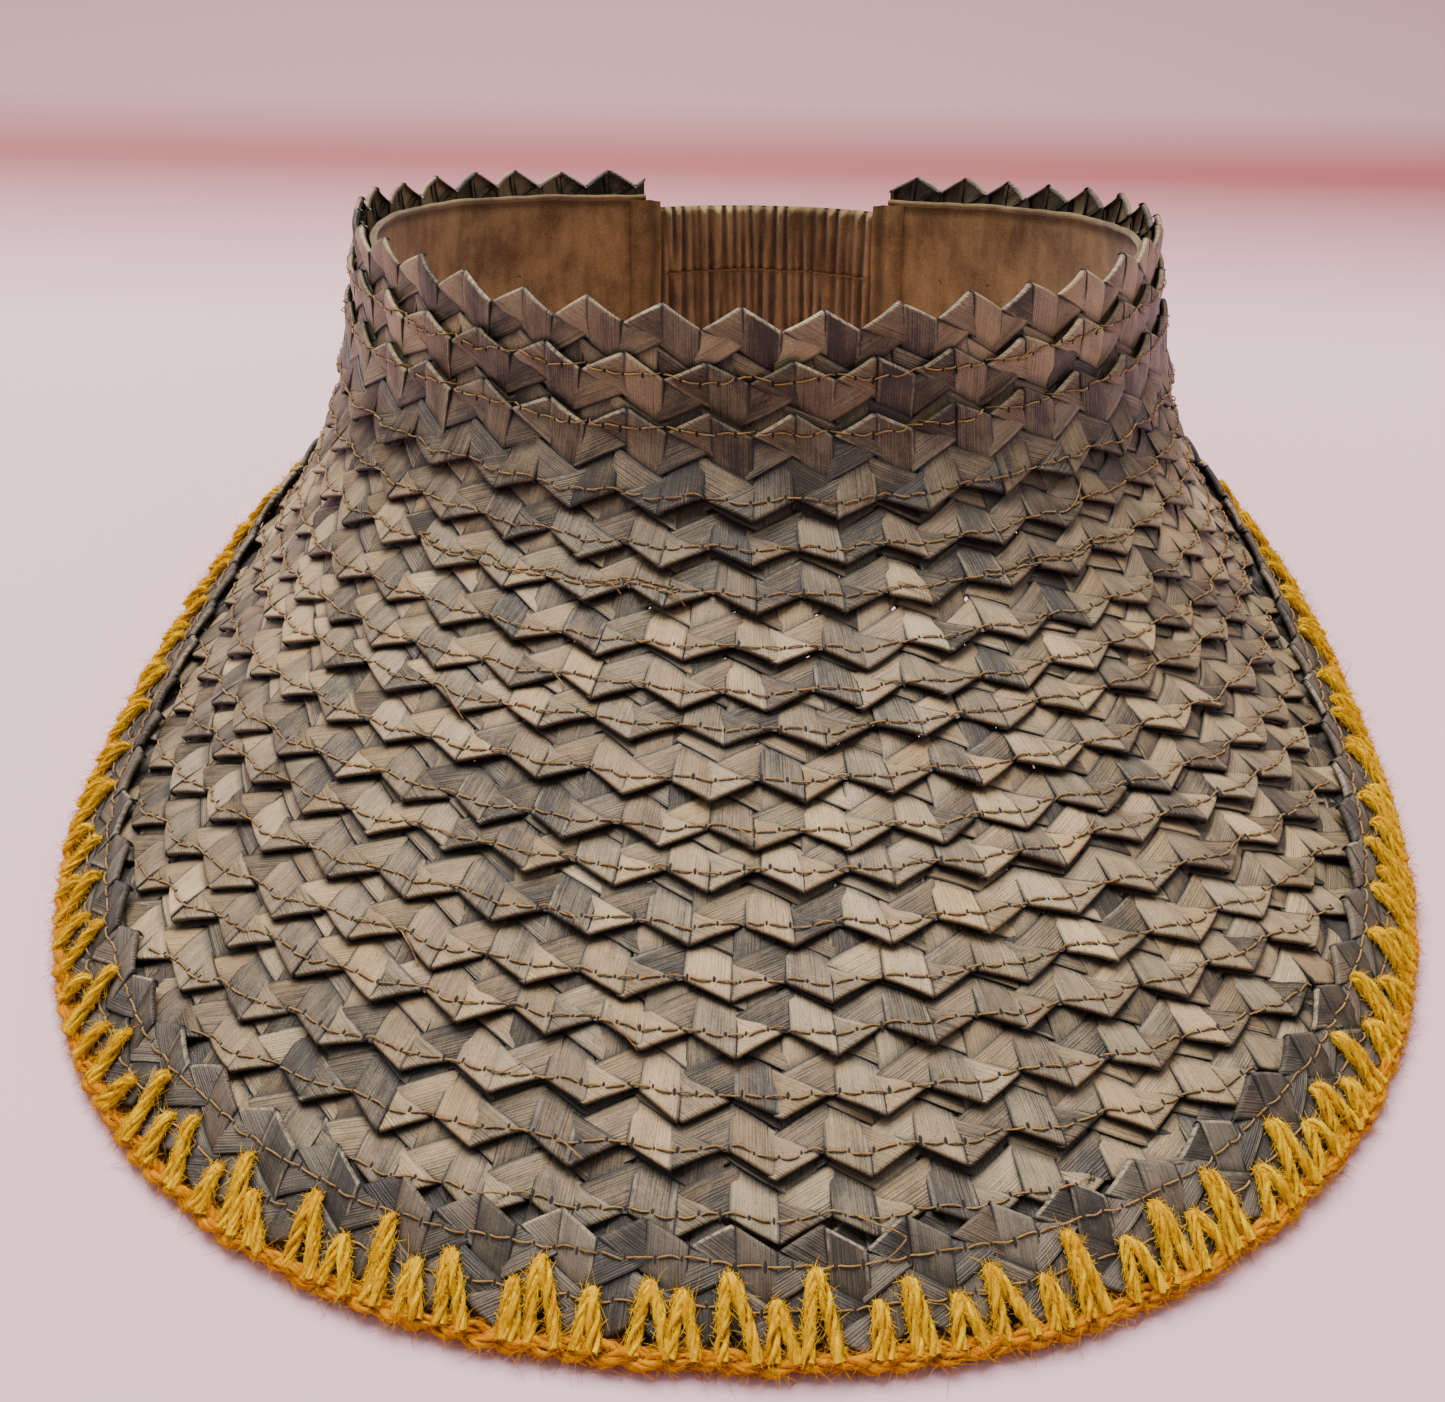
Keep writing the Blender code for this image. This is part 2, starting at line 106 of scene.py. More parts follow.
# ---- the lofted surface -------------------------------------------------------------------------
def rim_points(bearing):
    """The rim, a rounded oval that tips down to the rear and rises a little at the sides."""
    sine = np.sin(bearing)
    cosine = np.cos(bearing)
    scale = (np.abs(sine) ** RIM_POWER + np.abs(cosine) ** RIM_POWER) ** (-1.0 / RIM_POWER)
    x = RIM_HALF_WIDTH * scale * sine
    y = -RIM_HALF_DEPTH * scale * cosine
    z = RIM_FRONT_HEIGHT - RIM_TILT * (y + RIM_HALF_DEPTH) + RIM_SADDLE * sine**2
    return np.stack([x, y, z], axis=-1)


def edge_points(bearing):
    """The brim's outer edge: an egg shape in plan, lifted off the table at the sides."""
    near = np.zeros_like(bearing)
    far = np.full_like(bearing, 400.0)
    for _ in range(40):
        middle = (near + far) / 2
        x = np.abs(middle * np.sin(bearing) - BRIM_OFFSET_X)
        y = -middle * np.cos(bearing) - BRIM_CENTRE_Y
        depth = np.where(y < 0, BRIM_FRONT_DEPTH, BRIM_REAR_DEPTH)
        power = np.where(y < 0, BRIM_FRONT_POWER, BRIM_REAR_POWER)
        inside = (x / BRIM_HALF_WIDTH) ** power + (np.abs(y) / depth) ** power < 1
        near = np.where(inside, middle, near)
        far = np.where(inside, far, middle)
    along = np.clip((np.abs(bearing) - LIFT_FROM) / (REAR_BEARING - LIFT_FROM), 0, 1)
    z = EDGE_HEIGHT + SIDE_LIFT * np.sin(math.pi * along) ** 2
    return np.stack([near * np.sin(bearing), -near * np.cos(bearing), z], axis=-1)


def meridians(bearing):
    """For each bearing, points from above the rim to beyond the edge, and their runs."""
    rim = rim_points(bearing)
    edge = edge_points(bearing)
    plan = (edge - rim)[:, :2]
    plan = plan / np.linalg.norm(plan, axis=1, keepdims=True)
    turn = np.abs(np.sin(bearing / 2))
    wall = WALL_FRONT + (WALL_REAR - WALL_FRONT) * turn**2
    slope = BRIM_SLOPE + (WALL_REAR - BRIM_SLOPE) * turn**4
    down_wall = np.column_stack([plan * np.cos(wall)[:, None], -np.sin(wall)])
    down_brim = np.column_stack([plan * np.cos(slope)[:, None], -np.sin(slope)])
    start = rim + down_wall * WALL_STRAIGHT
    chord = np.linalg.norm(edge - start, axis=1)
    first = start + down_wall * (chord * (0.16 + 0.22 * turn))[:, None]
    second = edge - down_brim * (chord * (0.45 - 0.10 * turn))[:, None]
    t = np.linspace(0, 1, 48)[None, :, None]
    curve = (
        (1 - t) ** 3 * start[:, None]
        + 3 * (1 - t) ** 2 * t * first[:, None]
        + 3 * (1 - t) * t**2 * second[:, None]
        + t**3 * edge[:, None]
    )
    above = (rim - 10 * down_wall)[:, None]
    beyond = (edge + 20 * down_brim)[:, None]
    points = np.concatenate([above, rim[:, None], curve, beyond], axis=1)
    steps = np.linalg.norm(np.diff(points, axis=1), axis=2)
    runs = np.concatenate([np.zeros((len(bearing), 1)), np.cumsum(steps, axis=1)], axis=1) - 10
    return points, runs


TABLE_BEARINGS = np.linspace(-2.95, 2.95, 1181)
TABLE_RUNS = np.arange(-8.0, 200.0, 1.0)


def surface_tables():
    """Points and outward normals by bearing and run, and the run of the edge by bearing."""
    meridian_points, runs = meridians(TABLE_BEARINGS)
    even = [
        np.column_stack([np.interp(TABLE_RUNS, r, p[:, axis]) for axis in range(3)])
        for p, r in zip(meridian_points, runs)
    ]
    points = np.stack(even)
    normals = np.cross(np.gradient(points, axis=1), np.gradient(points, axis=0))
    lengths = np.linalg.norm(normals, axis=2, keepdims=True)
    normals /= np.maximum(lengths, 1e-9)
    for column in range(1, len(TABLE_RUNS)):
        beyond_edge = lengths[:, column, 0] < 1e-6
        normals[beyond_edge, column] = normals[beyond_edge, column - 1]
    return points, normals, runs[:, -2]


TABLE_POINTS, TABLE_NORMALS, EDGE_RUNS = surface_tables()


def from_table(table, bearing, run):
    """Values of a bearing by run table at these places."""
    i = (bearing - TABLE_BEARINGS[0]) / (TABLE_BEARINGS[1] - TABLE_BEARINGS[0])
    j = (run - TABLE_RUNS[0]) / (TABLE_RUNS[1] - TABLE_RUNS[0])
    i = np.clip(i, 0, len(TABLE_BEARINGS) - 1.001)
    j = np.clip(j, 0, len(TABLE_RUNS) - 1.001)
    i0 = i.astype(int)
    j0 = j.astype(int)
    fi = (i - i0)[..., None]
    fj = (j - j0)[..., None]
    return (
        table[i0, j0] * (1 - fi) * (1 - fj)
        + table[i0 + 1, j0] * fi * (1 - fj)
        + table[i0, j0 + 1] * (1 - fi) * fj
        + table[i0 + 1, j0 + 1] * fi * fj
    )


def skin(bearing, run, lift):
    """Points of the visor in the shared frame, in millimetres."""
    bearing, run, lift = np.broadcast_arrays(bearing, run, lift)
    points = from_table(TABLE_POINTS, bearing, run)
    normals = from_table(TABLE_NORMALS, bearing, run)
    return points + normals * lift[..., None] + RIM_CENTRE


def edge_run(bearing):
    """The run of the brim's outer edge."""
    return np.interp(bearing, TABLE_BEARINGS, EDGE_RUNS)


def rear_end(run):
    """The bearing at which the crown ends at this run."""
    return REAR_BEARING - REAR_RAKE * run


class Line:
    """A line along the visor at a given run, with bearings found from the distance along it."""

    def __init__(self, run_at, end):
        self.run_at = run_at
        self.fine = np.linspace(-end, end, 3001)
        points = skin(self.fine, run_at(self.fine), 0.0)
        steps = np.linalg.norm(np.diff(points, axis=0), axis=1)
        travelled = np.concatenate([[0], np.cumsum(steps)])
        self.travelled = travelled - np.interp(0, self.fine, travelled)
        self.start = self.travelled[0]
        self.stop = self.travelled[-1]

    def bearing(self, distance):
        """Bearings at these distances from the front, going on evenly past the ends."""
        inside = np.interp(distance, self.travelled, self.fine)
        rate = (self.fine[-1] - self.fine[-60]) / (self.travelled[-1] - self.travelled[-60])
        inside = inside + np.maximum(distance - self.stop, 0) * rate
        return inside + np.minimum(distance - self.start, 0) * rate


def wander(seed, wavelength, size):
    """A smooth random function of distance along a row."""
    local = np.random.default_rng(seed)
    waves = [(wavelength / (1 + k), local.uniform(0, 6.28), size / (1 + k)) for k in range(4)]
    return lambda s: sum(a * np.sin(2 * math.pi * s / length + p) for length, p, a in waves)


# ---- meshes -------------------------------------------------------------------------------------
def make_piece(name, points, faces, material, attributes=None):
    """A smooth mesh object from millimetre points; attributes maps names to vectors per point."""
    mesh = bpy.data.meshes.new(name)
    mesh.from_pydata((np.asarray(points) * 0.001).tolist(), [], np.asarray(faces).tolist())
    for key, values in (attributes or {}).items():
        layer = mesh.attributes.new(key, "FLOAT_VECTOR", "POINT")
        layer.data.foreach_set("vector", np.asarray(values, np.float32).ravel())
    mesh.polygons.foreach_set("use_smooth", np.ones(len(mesh.polygons), bool))
    mesh.materials.append(material)
    mesh.update()
    piece = bpy.data.objects.new(name, mesh)
    bpy.context.scene.collection.objects.link(piece)
    return piece


def grid_faces(rows, columns, wrap=False):
    """Quads of a grid of points numbered row by row; wrap joins the last column to the first."""
    i, j = np.meshgrid(np.arange(rows - 1), np.arange(columns - (not wrap)), indexing="ij")
    a = i * columns + j
    b = i * columns + (j + 1) % columns
    return np.stack([a, b, b + columns, a + columns], axis=-1).reshape(-1, 4)


class Gather:
    """Collects grids of points and their attributes into one mesh."""

    def __init__(self):
        self.points = []
        self.faces = []
        self.values = {}
        self.count = 0

    def add(self, points, faces, **attributes):
        """points: (..., 3); faces number those points; attributes: a vector for each point."""
        self.points.append(points.reshape(-1, 3))
        self.faces.append(faces.reshape(-1, 4) + self.count)
        for key, value in attributes.items():
            self.values.setdefault(key, []).append(value.reshape(-1, 3))
        self.count += len(self.points[-1])

    def merged(self):
        """All points, faces and attributes."""
        values = {key: np.concatenate(value) for key, value in self.values.items()}
        return np.concatenate(self.points), np.concatenate(self.faces), values

    def piece(self, name, material):
        """One mesh object with everything in it."""
        points, faces, values = self.merged()
        return make_piece(name, points, faces, material, values)


# ---- materials ----------------------------------------------------------------------------------
class Look:
    """A Principled material, with short ways to make the nodes that feed it."""

    def __init__(self, name):
        self.material = bpy.data.materials.new(name)
        self.material.use_nodes = True
        self.tree = self.material.node_tree
        self.shader = self.tree.nodes["Principled BSDF"]

    def feed(self, socket, value):
        """Links an output to a socket, or sets the socket to a constant."""
        if isinstance(value, bpy.types.NodeSocket):
            self.tree.links.new(value, socket)
        else:
            socket.default_value = value

    def node(self, kind, inputs=None, **settings):
        """A new node with its settings and its inputs."""
        made = self.tree.nodes.new(kind)
        for key, value in settings.items():
            setattr(made, key, value)
        for key, value in (inputs or {}).items():
            self.feed(made.inputs[key], value)
        return made

    def finished(self, inputs):
        """The material, once the shader's own inputs are fed."""
        for key, value in inputs.items():
            self.feed(self.shader.inputs[key], value)
        return self.material

    def maths(self, operation, a, b=0.0):
        """The output of a Math node."""
        return self.node("ShaderNodeMath", {0: a, 1: b}, operation=operation).outputs[0]

    def times(self, a, b):
        """A product."""
        return self.maths("MULTIPLY", a, b)

    def total(self, first, *others):
        """A sum, added up in this order."""
        for other in others:
            first = self.maths("ADD", first, other)
        return first

    def ramp(self, value, low, high, to_low=0.0, to_high=1.0):
        """value taken from low..high to to_low..to_high, held at both ends."""
        inputs = {0: value, 1: low, 2: high, 3: to_low, 4: to_high}
        return self.node("ShaderNodeMapRange", inputs).outputs[0]

    def mix(self, factor, a, b, how="MIX"):
        """Two colours mixed."""
        inputs = {0: factor, 6: a, 7: b}
        return self.node("ShaderNodeMix", inputs, data_type="RGBA", blend_type=how).outputs[2]

    def noise(self, vector, scale, detail=2.0, roughness=0.5):
        """Noise at this vector."""
        inputs = {"Vector": vector, "Scale": scale, "Detail": detail, "Roughness": roughness}
        return self.node("ShaderNodeTexNoise", inputs).outputs["Fac"]

    def streaks(self, source, along, across, seed, detail=2.0, roughness=0.5):
        """Noise drawn out: the source's coordinates are scaled differently along and across."""
        inputs = {0: source, 1: (along, across, seed)}
        scaled = self.node("ShaderNodeVectorMath", inputs, operation="MULTIPLY").outputs[0]
        return self.noise(scaled, 1.0, detail, roughness)

    def attribute(self, name):
        """A vector stored on the mesh."""
        return self.node("ShaderNodeAttribute", attribute_name=name).outputs["Vector"]

    def split(self, vector):
        """The three parts of a vector."""
        return self.node("ShaderNodeSeparateXYZ", {0: vector}).outputs

    def place(self):
        """The piece's own coordinates, in metres."""
        return self.node("ShaderNodeTexCoord").outputs["Object"]

    def relief(self, height, strength, depth):
        """A fine relief for the shader's normal; depth in metres."""
        inputs = {"Strength": strength, "Distance": depth, "Height": height}
        return self.node("ShaderNodeBump", inputs).outputs[0]


SPECK = (0.02, 0.015, 0.011, 1)
GROOVE = (0.03, 0.022, 0.016, 1)
CUT_EDGE_AND_FOLD_HIGHLIGHT = (0.60, 0.475, 0.30, 1)
CONTACT_SHADE = (0.010, 0.008, 0.006, 1)
CREVICE_SHADE = (0.006, 0.005, 0.004, 1)
CONTACT_REACH = 0.0013


def leaf_material(name, dark, light, warm, roughness):
    """Dried leaf strip: ribs and fibres along it, tones by strip, specks, pale cut edges that are partly
    real wear and partly a painted highlight on folds, and painted shade by contact and in crevices.
    """
    look = Look(name)
    fibre = look.attribute("fibre")
    strip_tone, warmth, wear_and_highlight = look.split(look.attribute("tone"))
    shade_amount = look.split(look.attribute("grime"))[0]
    ribs = look.streaks(fibre, 0.03, 2.6, 41.0, 1.5)
    sway = look.streaks(fibre, 0.05, 0.3, 29.0, 1.0)
    veins = look.maths("SINE", look.times(look.total(look.split(fibre)[1], sway), 13.0))
    fine = look.streaks(fibre, 0.16, 9.0, 67.0, 2.0, 0.6)
    fray = look.streaks(fibre, 0.7, 1.3, 37.0, 2.0, 0.7)
    blotch = look.streaks(fibre, 0.16, 0.25, 23.0, 3.0)
    specks = look.streaks(fibre, 2.2, 5.5, 91.0, 1.0)
    bands = look.streaks(fibre, 4.2, 1.2, 13.0)
    level = look.node("ShaderNodeMath", {0: strip_tone, 1: 0.9, 2: -0.16}, operation="MULTIPLY_ADD")
    level = look.total(
        level.outputs[0],
        look.ramp(ribs, 0.35, 0.65, 0.0, 0.12),
        look.times(veins, 0.045),
        look.ramp(fine, 0.3, 0.7, 0.0, 0.19),
        look.ramp(blotch, 0.3, 0.7, -0.12, 0.12),
        look.ramp(bands, 0.35, 0.65, -0.05, 0.06),
    )
    colour = look.mix(look.ramp(level, 0.0, 1.1), dark, light)
    colour = look.mix(look.times(warmth, 0.7), colour, warm, "MULTIPLY")
    colour = look.mix(look.ramp(specks, 0.64, 0.72, 0.0, 0.8), colour, SPECK)
    colour = look.mix(look.ramp(fine, 0.24, 0.36, 0.45, 0.0), colour, GROOVE)
    # Pale cut edges: real wear along strip rims, painted highlight along the upward folds.
    edge = look.times(look.ramp(wear_and_highlight, 0.5, 1.0, 0.0, 0.8), look.ramp(fray, 0.38, 0.62, 0.15, 1.0))
    colour = look.mix(edge, colour, CUT_EDGE_AND_FOLD_HIGHLIGHT)
    contact = look.node("ShaderNodeAmbientOcclusion", {"Distance": CONTACT_REACH}, samples=5)
    colour = look.mix(look.ramp(contact.outputs["AO"], 0.45, 1.0, 1.0, 0.0), colour, CONTACT_SHADE)
    # Painted shade in crevices: where strips dive low, on rolled-under folds, along strip outlines and
    # below the row above.
    colour = look.mix(look.ramp(shade_amount, 0.12, 1.0, 0.0, 0.9), colour, CREVICE_SHADE)
    height = look.total(ribs, look.times(fine, 0.6), look.times(bands, 0.3), look.times(veins, 0.10))
    return look.finished(
        {
            "Base Color": colour,
            "Roughness": look.ramp(fine, 0.3, 0.7, roughness - 0.08, roughness + 0.12),
            "Specular IOR Level": 0.5,
            "Normal": look.relief(height, 0.7, 0.0004),
        }
    )


def strand_material(name, dark, light, roughness, sheen, along, across):
    """Thread or yarn: fine fibres wound along the strand."""
    look = Look(name)
    fibre = look.attribute("fibre")
    bright, warmth, _ = look.split(look.attribute("tone"))
    hairs = look.streaks(fibre, along, across, 31.0, 3.0, 0.65)
    patches = look.streaks(fibre, 0.11, 0.3, 17.0)
    level = look.total(look.ramp(hairs, 0.32, 0.68, 0.0, 0.75), look.ramp(patches, 0.3, 0.7, -0.15, 0.2))
    colour = look.mix(look.ramp(look.times(level, bright), 0.0, 1.0), dark, light)
    return look.finished(
        {
            "Base Color": look.mix(warmth, colour, (0.80, 0.50, 0.2, 1), "MULTIPLY"),
            "Roughness": roughness,
            "Sheen Weight": sheen,
            "Specular IOR Level": 0.08,
            "Normal": look.relief(hairs, 0.6, 0.0002),
        }
    )


def cloth_material(name, dark, light, nap):
    """Napped brown cloth with clouded tone and a fine grain, darkened by painted shade from its tone
    attribute.
    """
    look = Look(name)
    place = look.place()
    grain = look.noise(place, 2600.0, 2.0, 0.6)
    level = look.total(
        look.ramp(look.noise(place, 60.0, 4.0, 0.6), 0.3, 0.7, 0.1, 0.7),
        look.ramp(look.streaks(place, 260.0, 260.0, 70.0, 3.0, 0.6), 0.3, 0.7, -0.2, 0.2),
        look.ramp(grain, 0.3, 0.7, -0.22, 0.22),
    )
    shade = look.split(look.attribute("tone"))[0]
    colour = look.mix(look.ramp(level, 0.0, 1.0), dark, light)
    return look.finished(
        {
            # Painted shade from the tone attribute.
            "Base Color": look.mix(shade, colour, (0.03, 0.018, 0.009, 1)),
            "Roughness": 0.92,
            "Specular IOR Level": 0.15,
            "Sheen Weight": nap,
            "Normal": look.relief(grain, 0.5, 0.0003),
        }
    )


def hole_shade_material():
    """Painted shade for the inside of a needle hole."""
    look = Look("needle_hole_shade")
    colour = look.mix(look.noise(look.place(), 900.0), CREVICE_SHADE, (0.03, 0.022, 0.015, 1))
    return look.finished({"Base Color": colour, "Roughness": 0.95})


LEAF = leaf_material(
    "plaited_leaf", (0.036, 0.026, 0.017, 1), (0.70, 0.52, 0.29, 1), (0.92, 0.67, 0.42, 1), 0.44
)
EDGE_LEAF = leaf_material(
    "edge_leaf", (0.030, 0.024, 0.019, 1), (0.40, 0.31, 0.22, 1), (0.92, 0.74, 0.54, 1), 0.48
)
THREAD = strand_material(
    "tan_thread", (0.16, 0.075, 0.02, 1), (0.62, 0.34, 0.095, 1), 0.55, 0.2, 1.2, 3.0
)
YARN = strand_material(
    "yellow_yarn", (0.55, 0.20, 0.0, 1), (0.98, 0.70, 0.0, 1), 0.9, 0.0, 0.35, 3.0
)
CLOTH = cloth_material("brown_cloth", (0.110, 0.066, 0.022, 1), (0.41, 0.275, 0.105, 1), 0.25)
ELASTIC = cloth_material("elastic_webbing", (0.30, 0.28, 0.24, 1), (0.5, 0.48, 0.42, 1), 0.1)
HOLE_SHADE = hole_shade_material()

# ---- the plait ----------------------------------------------------------------------------------
# One cell of the plait is a tooth pitch wide. In it x is along the row and y towards the top teeth,
# in pitches, from a top valley. Each visible strip is a ruled patch that dives under its neighbours.
SLOPE = math.tan(math.radians(30.0))
WIDE = 0.478
BAND = 0.85
TIP = BAND + SLOPE * WIDE
PEAK = SLOPE * WIDE
TUCK = 0.075
FOLD = 0.72
FOLD_ANGLES = np.radians([-75, -35, 0, 25, 50, 75, 90])
ACROSS = np.array([0, 0, 0.045, 0.095, 0.29, 0.5, 0.71, 0.905, 0.955, 1, 1])
SKIRT = np.array([1, 0, 0, 0, 0, 0, 0, 0, 0, 0, 1])
RIM_OF_STRIP = np.array([1, 0.5, 0.9, 0.6, 0, 0, 0, 0.6, 0.9, 0.5, 1])
# Painted shade along each strip's outline.
OUTLINE_SHADE = np.array([1, 1, 0.55, 0, 0, 0, 0, 0, 0.55, 1, 1])
STRIP_DROP = 0.5
STRIP_CROWN = 0.36
PLACES_ALONG = 7


def smooth(t):
    """Smoothstep."""
    t = np.clip(t, 0, 1)
    return t * t * (3 - 2 * t)


def ruled(start, end, height, folded, shaded_fold=0.0):
    """A strip patch. start and end: points per place across; height: function of (across, along)."""
    length = np.linalg.norm(end - start, axis=1) * PITCH
    direction = (end - start) / np.linalg.norm(end - start, axis=1, keepdims=True)
    beginnings = np.array([0.0])
    drops = np.array([0.0])
    if folded:
        beginnings = FOLD * (1 - np.cos(FOLD_ANGLES)) / math.cos(math.radians(30))
        drops = FOLD * (1 - np.sin(FOLD_ANGLES))
    rest = np.linspace(0, 1, PLACES_ALONG)[1:]
    after_fold = beginnings[-1] + (length[:, None] - beginnings[-1]) * rest[None]
    along = np.concatenate([np.repeat(beginnings[None], len(length), axis=0), after_fold], axis=1)
    drop = np.concatenate([drops, np.zeros(len(rest))])[None]
    points = start[:, None] + direction[:, None] * (along / PITCH)[..., None]
    level = height(ACROSS[:, None], along / length[:, None])
    lift = level + STRIP_CROWN * (1 - (2 * ACROSS[:, None] - 1) ** 2)
    lift = lift - drop - STRIP_DROP * SKIRT[:, None]
    wear_and_highlight = np.repeat(RIM_OF_STRIP[:, None], along.shape[1], axis=1)
    # Painted highlight: upward folds get much of the pale edge colour, shaded folds only a little.
    if folded:
        wear_and_highlight[:, 2:6] = np.maximum(wear_and_highlight[:, 2:6], 0.15 if shaded_fold else 0.85)
    # Painted shade: low parts where the strip dives, the rolled-under part of every fold (more on shaded
    # folds), and the strip's outline.
    crease_shade = 0.75 * smooth((0.55 - level) / 0.4)
    crease_shade = np.maximum(crease_shade, shaded_fold * smooth((drop - FOLD * 0.02) / (FOLD * 0.6)))
    crease_shade = np.maximum(crease_shade, 0.9 * smooth((drop - FOLD * 0.9) / FOLD))
    crease_shade = np.maximum(crease_shade, OUTLINE_SHADE[:, None])
    return {
        "x": points[..., 0],
        "y": points[..., 1],
        "lift": lift,
        "along": along,
        "across": np.repeat(ACROSS[:, None] * WIDE * PITCH, along.shape[1], axis=1),
        "wear_and_highlight": wear_and_highlight,
        "crease_shade": np.clip(crease_shade, 0, 1),
    }


def dives(top, fall, steepness):
    """A strip's height: level at its fold, then down under the strip it meets."""
    return lambda across, along: top - fall * smooth(along * steepness - (steepness - 1))


def pairs(x, y):
    """Points from their two coordinates; either may be one number."""
    return np.column_stack(np.broadcast_arrays(x, y))


def cell_strips():
    """The six visible strips of a cell, as patches."""
    a = ACROSS
    strips = {}
    # right facet of the top tooth: comes down from its fold and dives under the lower strip
    x = 1 - WIDE + a * WIDE
    start = pairs(x, SLOPE * (1 - x))
    end = pairs(x, -SLOPE * (x + 1) + 2 * SLOPE * WIDE - TUCK)
    strips["right_top"] = ruled(start, end, dives(0.95, 0.75, 1.5), True)
    # left facet of the top tooth: slants down from its fold and dives under the right facet
    x0 = a * WIDE
    x1 = 1 - WIDE + TUCK
    start = pairs(x0, SLOPE * x0)
    end = pairs(x1, SLOPE * x0 - SLOPE * (x1 - x0))
    strips["left_top"] = ruled(start, end, dives(0.85, 0.5, 1.25), True)
    # triangle below the left facet: rises from under the strip at its left
    c = -TIP + SLOPE + a * (TIP - BAND + SLOPE * WIDE)
    x1 = np.minimum(np.maximum(-c / (2 * SLOPE), 0) + TUCK, (-0.01 - c) / SLOPE)
    x1 = np.maximum(x1, 0.03 - TUCK)
    strips["upper_triangle"] = ruled(
        pairs(-TUCK, c - SLOPE * TUCK),
        pairs(x1, c + SLOPE * x1),
        lambda across, along: 0.40 + 0.34 * (1 - across) * np.sin(math.pi * np.clip(along, 0, 1)),
        False,
    )
    # right facet of the bottom tooth: goes up from its fold and dives under that triangle
    x = a * WIDE
    start = pairs(x, -TIP + SLOPE * x)
    end = pairs(x, -TIP + SLOPE + SLOPE * x + TUCK)
    strips["right_bottom"] = ruled(start, end, dives(0.95, 0.85, 1.5), True, 0.85)
    # left facet of the bottom tooth of the next cell: slants up and dives under its right facet
    x0 = 1 - WIDE + a * WIDE
    y0 = -BAND - SLOPE * a * WIDE
    x1 = 1 + TUCK
    end = pairs(x1, y0 + SLOPE * (x1 - x0))
    strips["left_bottom"] = ruled(pairs(x0, y0), end, dives(0.85, 0.5, 1.25), True, 0.85)
    # triangle right of the right bottom facet, over the right top facet
    c = -SLOPE + a * 2 * SLOPE * WIDE
    x0 = WIDE - TUCK
    x1 = (c + BAND + SLOPE * (1 - WIDE)) / (2 * SLOPE) + TUCK
    x1 = np.maximum(np.minimum(x1, (c + BAND - 0.01) / SLOPE), x0 + 0.04)
    strips["lower_triangle"] = ruled(
        pairs(x0, c - SLOPE * x0),
        pairs(x1, c - SLOPE * x1),
        lambda across, along: 0.32 + 0.45 * across * np.sin(math.pi * np.clip(along, 0, 1)) ** 0.7,
        False,
    )
    return strips


CELL = cell_strips()
TOP_STRIPS = ("right_top", "left_top")
BOTTOM_STRIPS = ("right_bottom", "left_bottom")


class Row:
    """One row of plait: its line, where its cells lie, and the ray tree of its finished mesh."""

    def __init__(self, number, line, anchor, mirrored, pitch, stretch, phase, base_lift, curl):
        self.number = number
        self.line = line
        self.anchor = anchor
        self.mirrored = mirrored
        self.pitch = pitch
        self.stretch = stretch
        self.phase = phase
        self.base_lift = base_lift
        self.curl = curl
        self.sway = wander(100 + number, 83.0, 0.35)
        self.dip = wander(200 + number, 61.0, 0.28)
        self.swell = wander(300 + number, 47.0, 0.16)
        self.tree = None

    def place(self, x, y):
        """Bearing, run and height above the row's base at cell coordinates, x counted in pitches."""
        x = -x if self.mirrored else x
        distance = (x + self.phase) * self.pitch
        distance = distance + self.sway(distance)
        bearing = self.line.bearing(distance)
        run = self.anchor(bearing) - y * self.pitch * self.stretch + self.dip(distance)
        return bearing, run, self.swell(distance)

    def cells(self):
        """The numbers of the row's cells, from end to end."""
        low = int(math.floor(self.line.start / self.pitch - self.phase)) - 1
        high = int(math.ceil(self.line.stop / self.pitch - self.phase)) + 1
        return np.arange(-high, -low) if self.mirrored else np.arange(low, high)


def saw_edge(row, bearing):
    """The run of a row's lower toothed edge at each bearing."""
    distance = np.interp(bearing, row.line.fine, row.line.travelled)
    distance = distance - row.sway(distance)
    x = distance / row.pitch - row.phase
    near = np.abs(x - np.round(x))
    y = np.minimum(-TIP + SLOPE * near, -BAND)
    return row.anchor(bearing) - y * row.pitch * row.stretch + row.dip(distance)


def grime_under(row, bearing, run):
    """Painted shade on the plait next to a row's lower edge: full where the row covers it, fading over
    0.75 mm below the edge.
    """
    below = run - saw_edge(row, bearing)
    return np.where(below < 0, 1.0, np.exp(-np.maximum(below, 0) / 0.75))


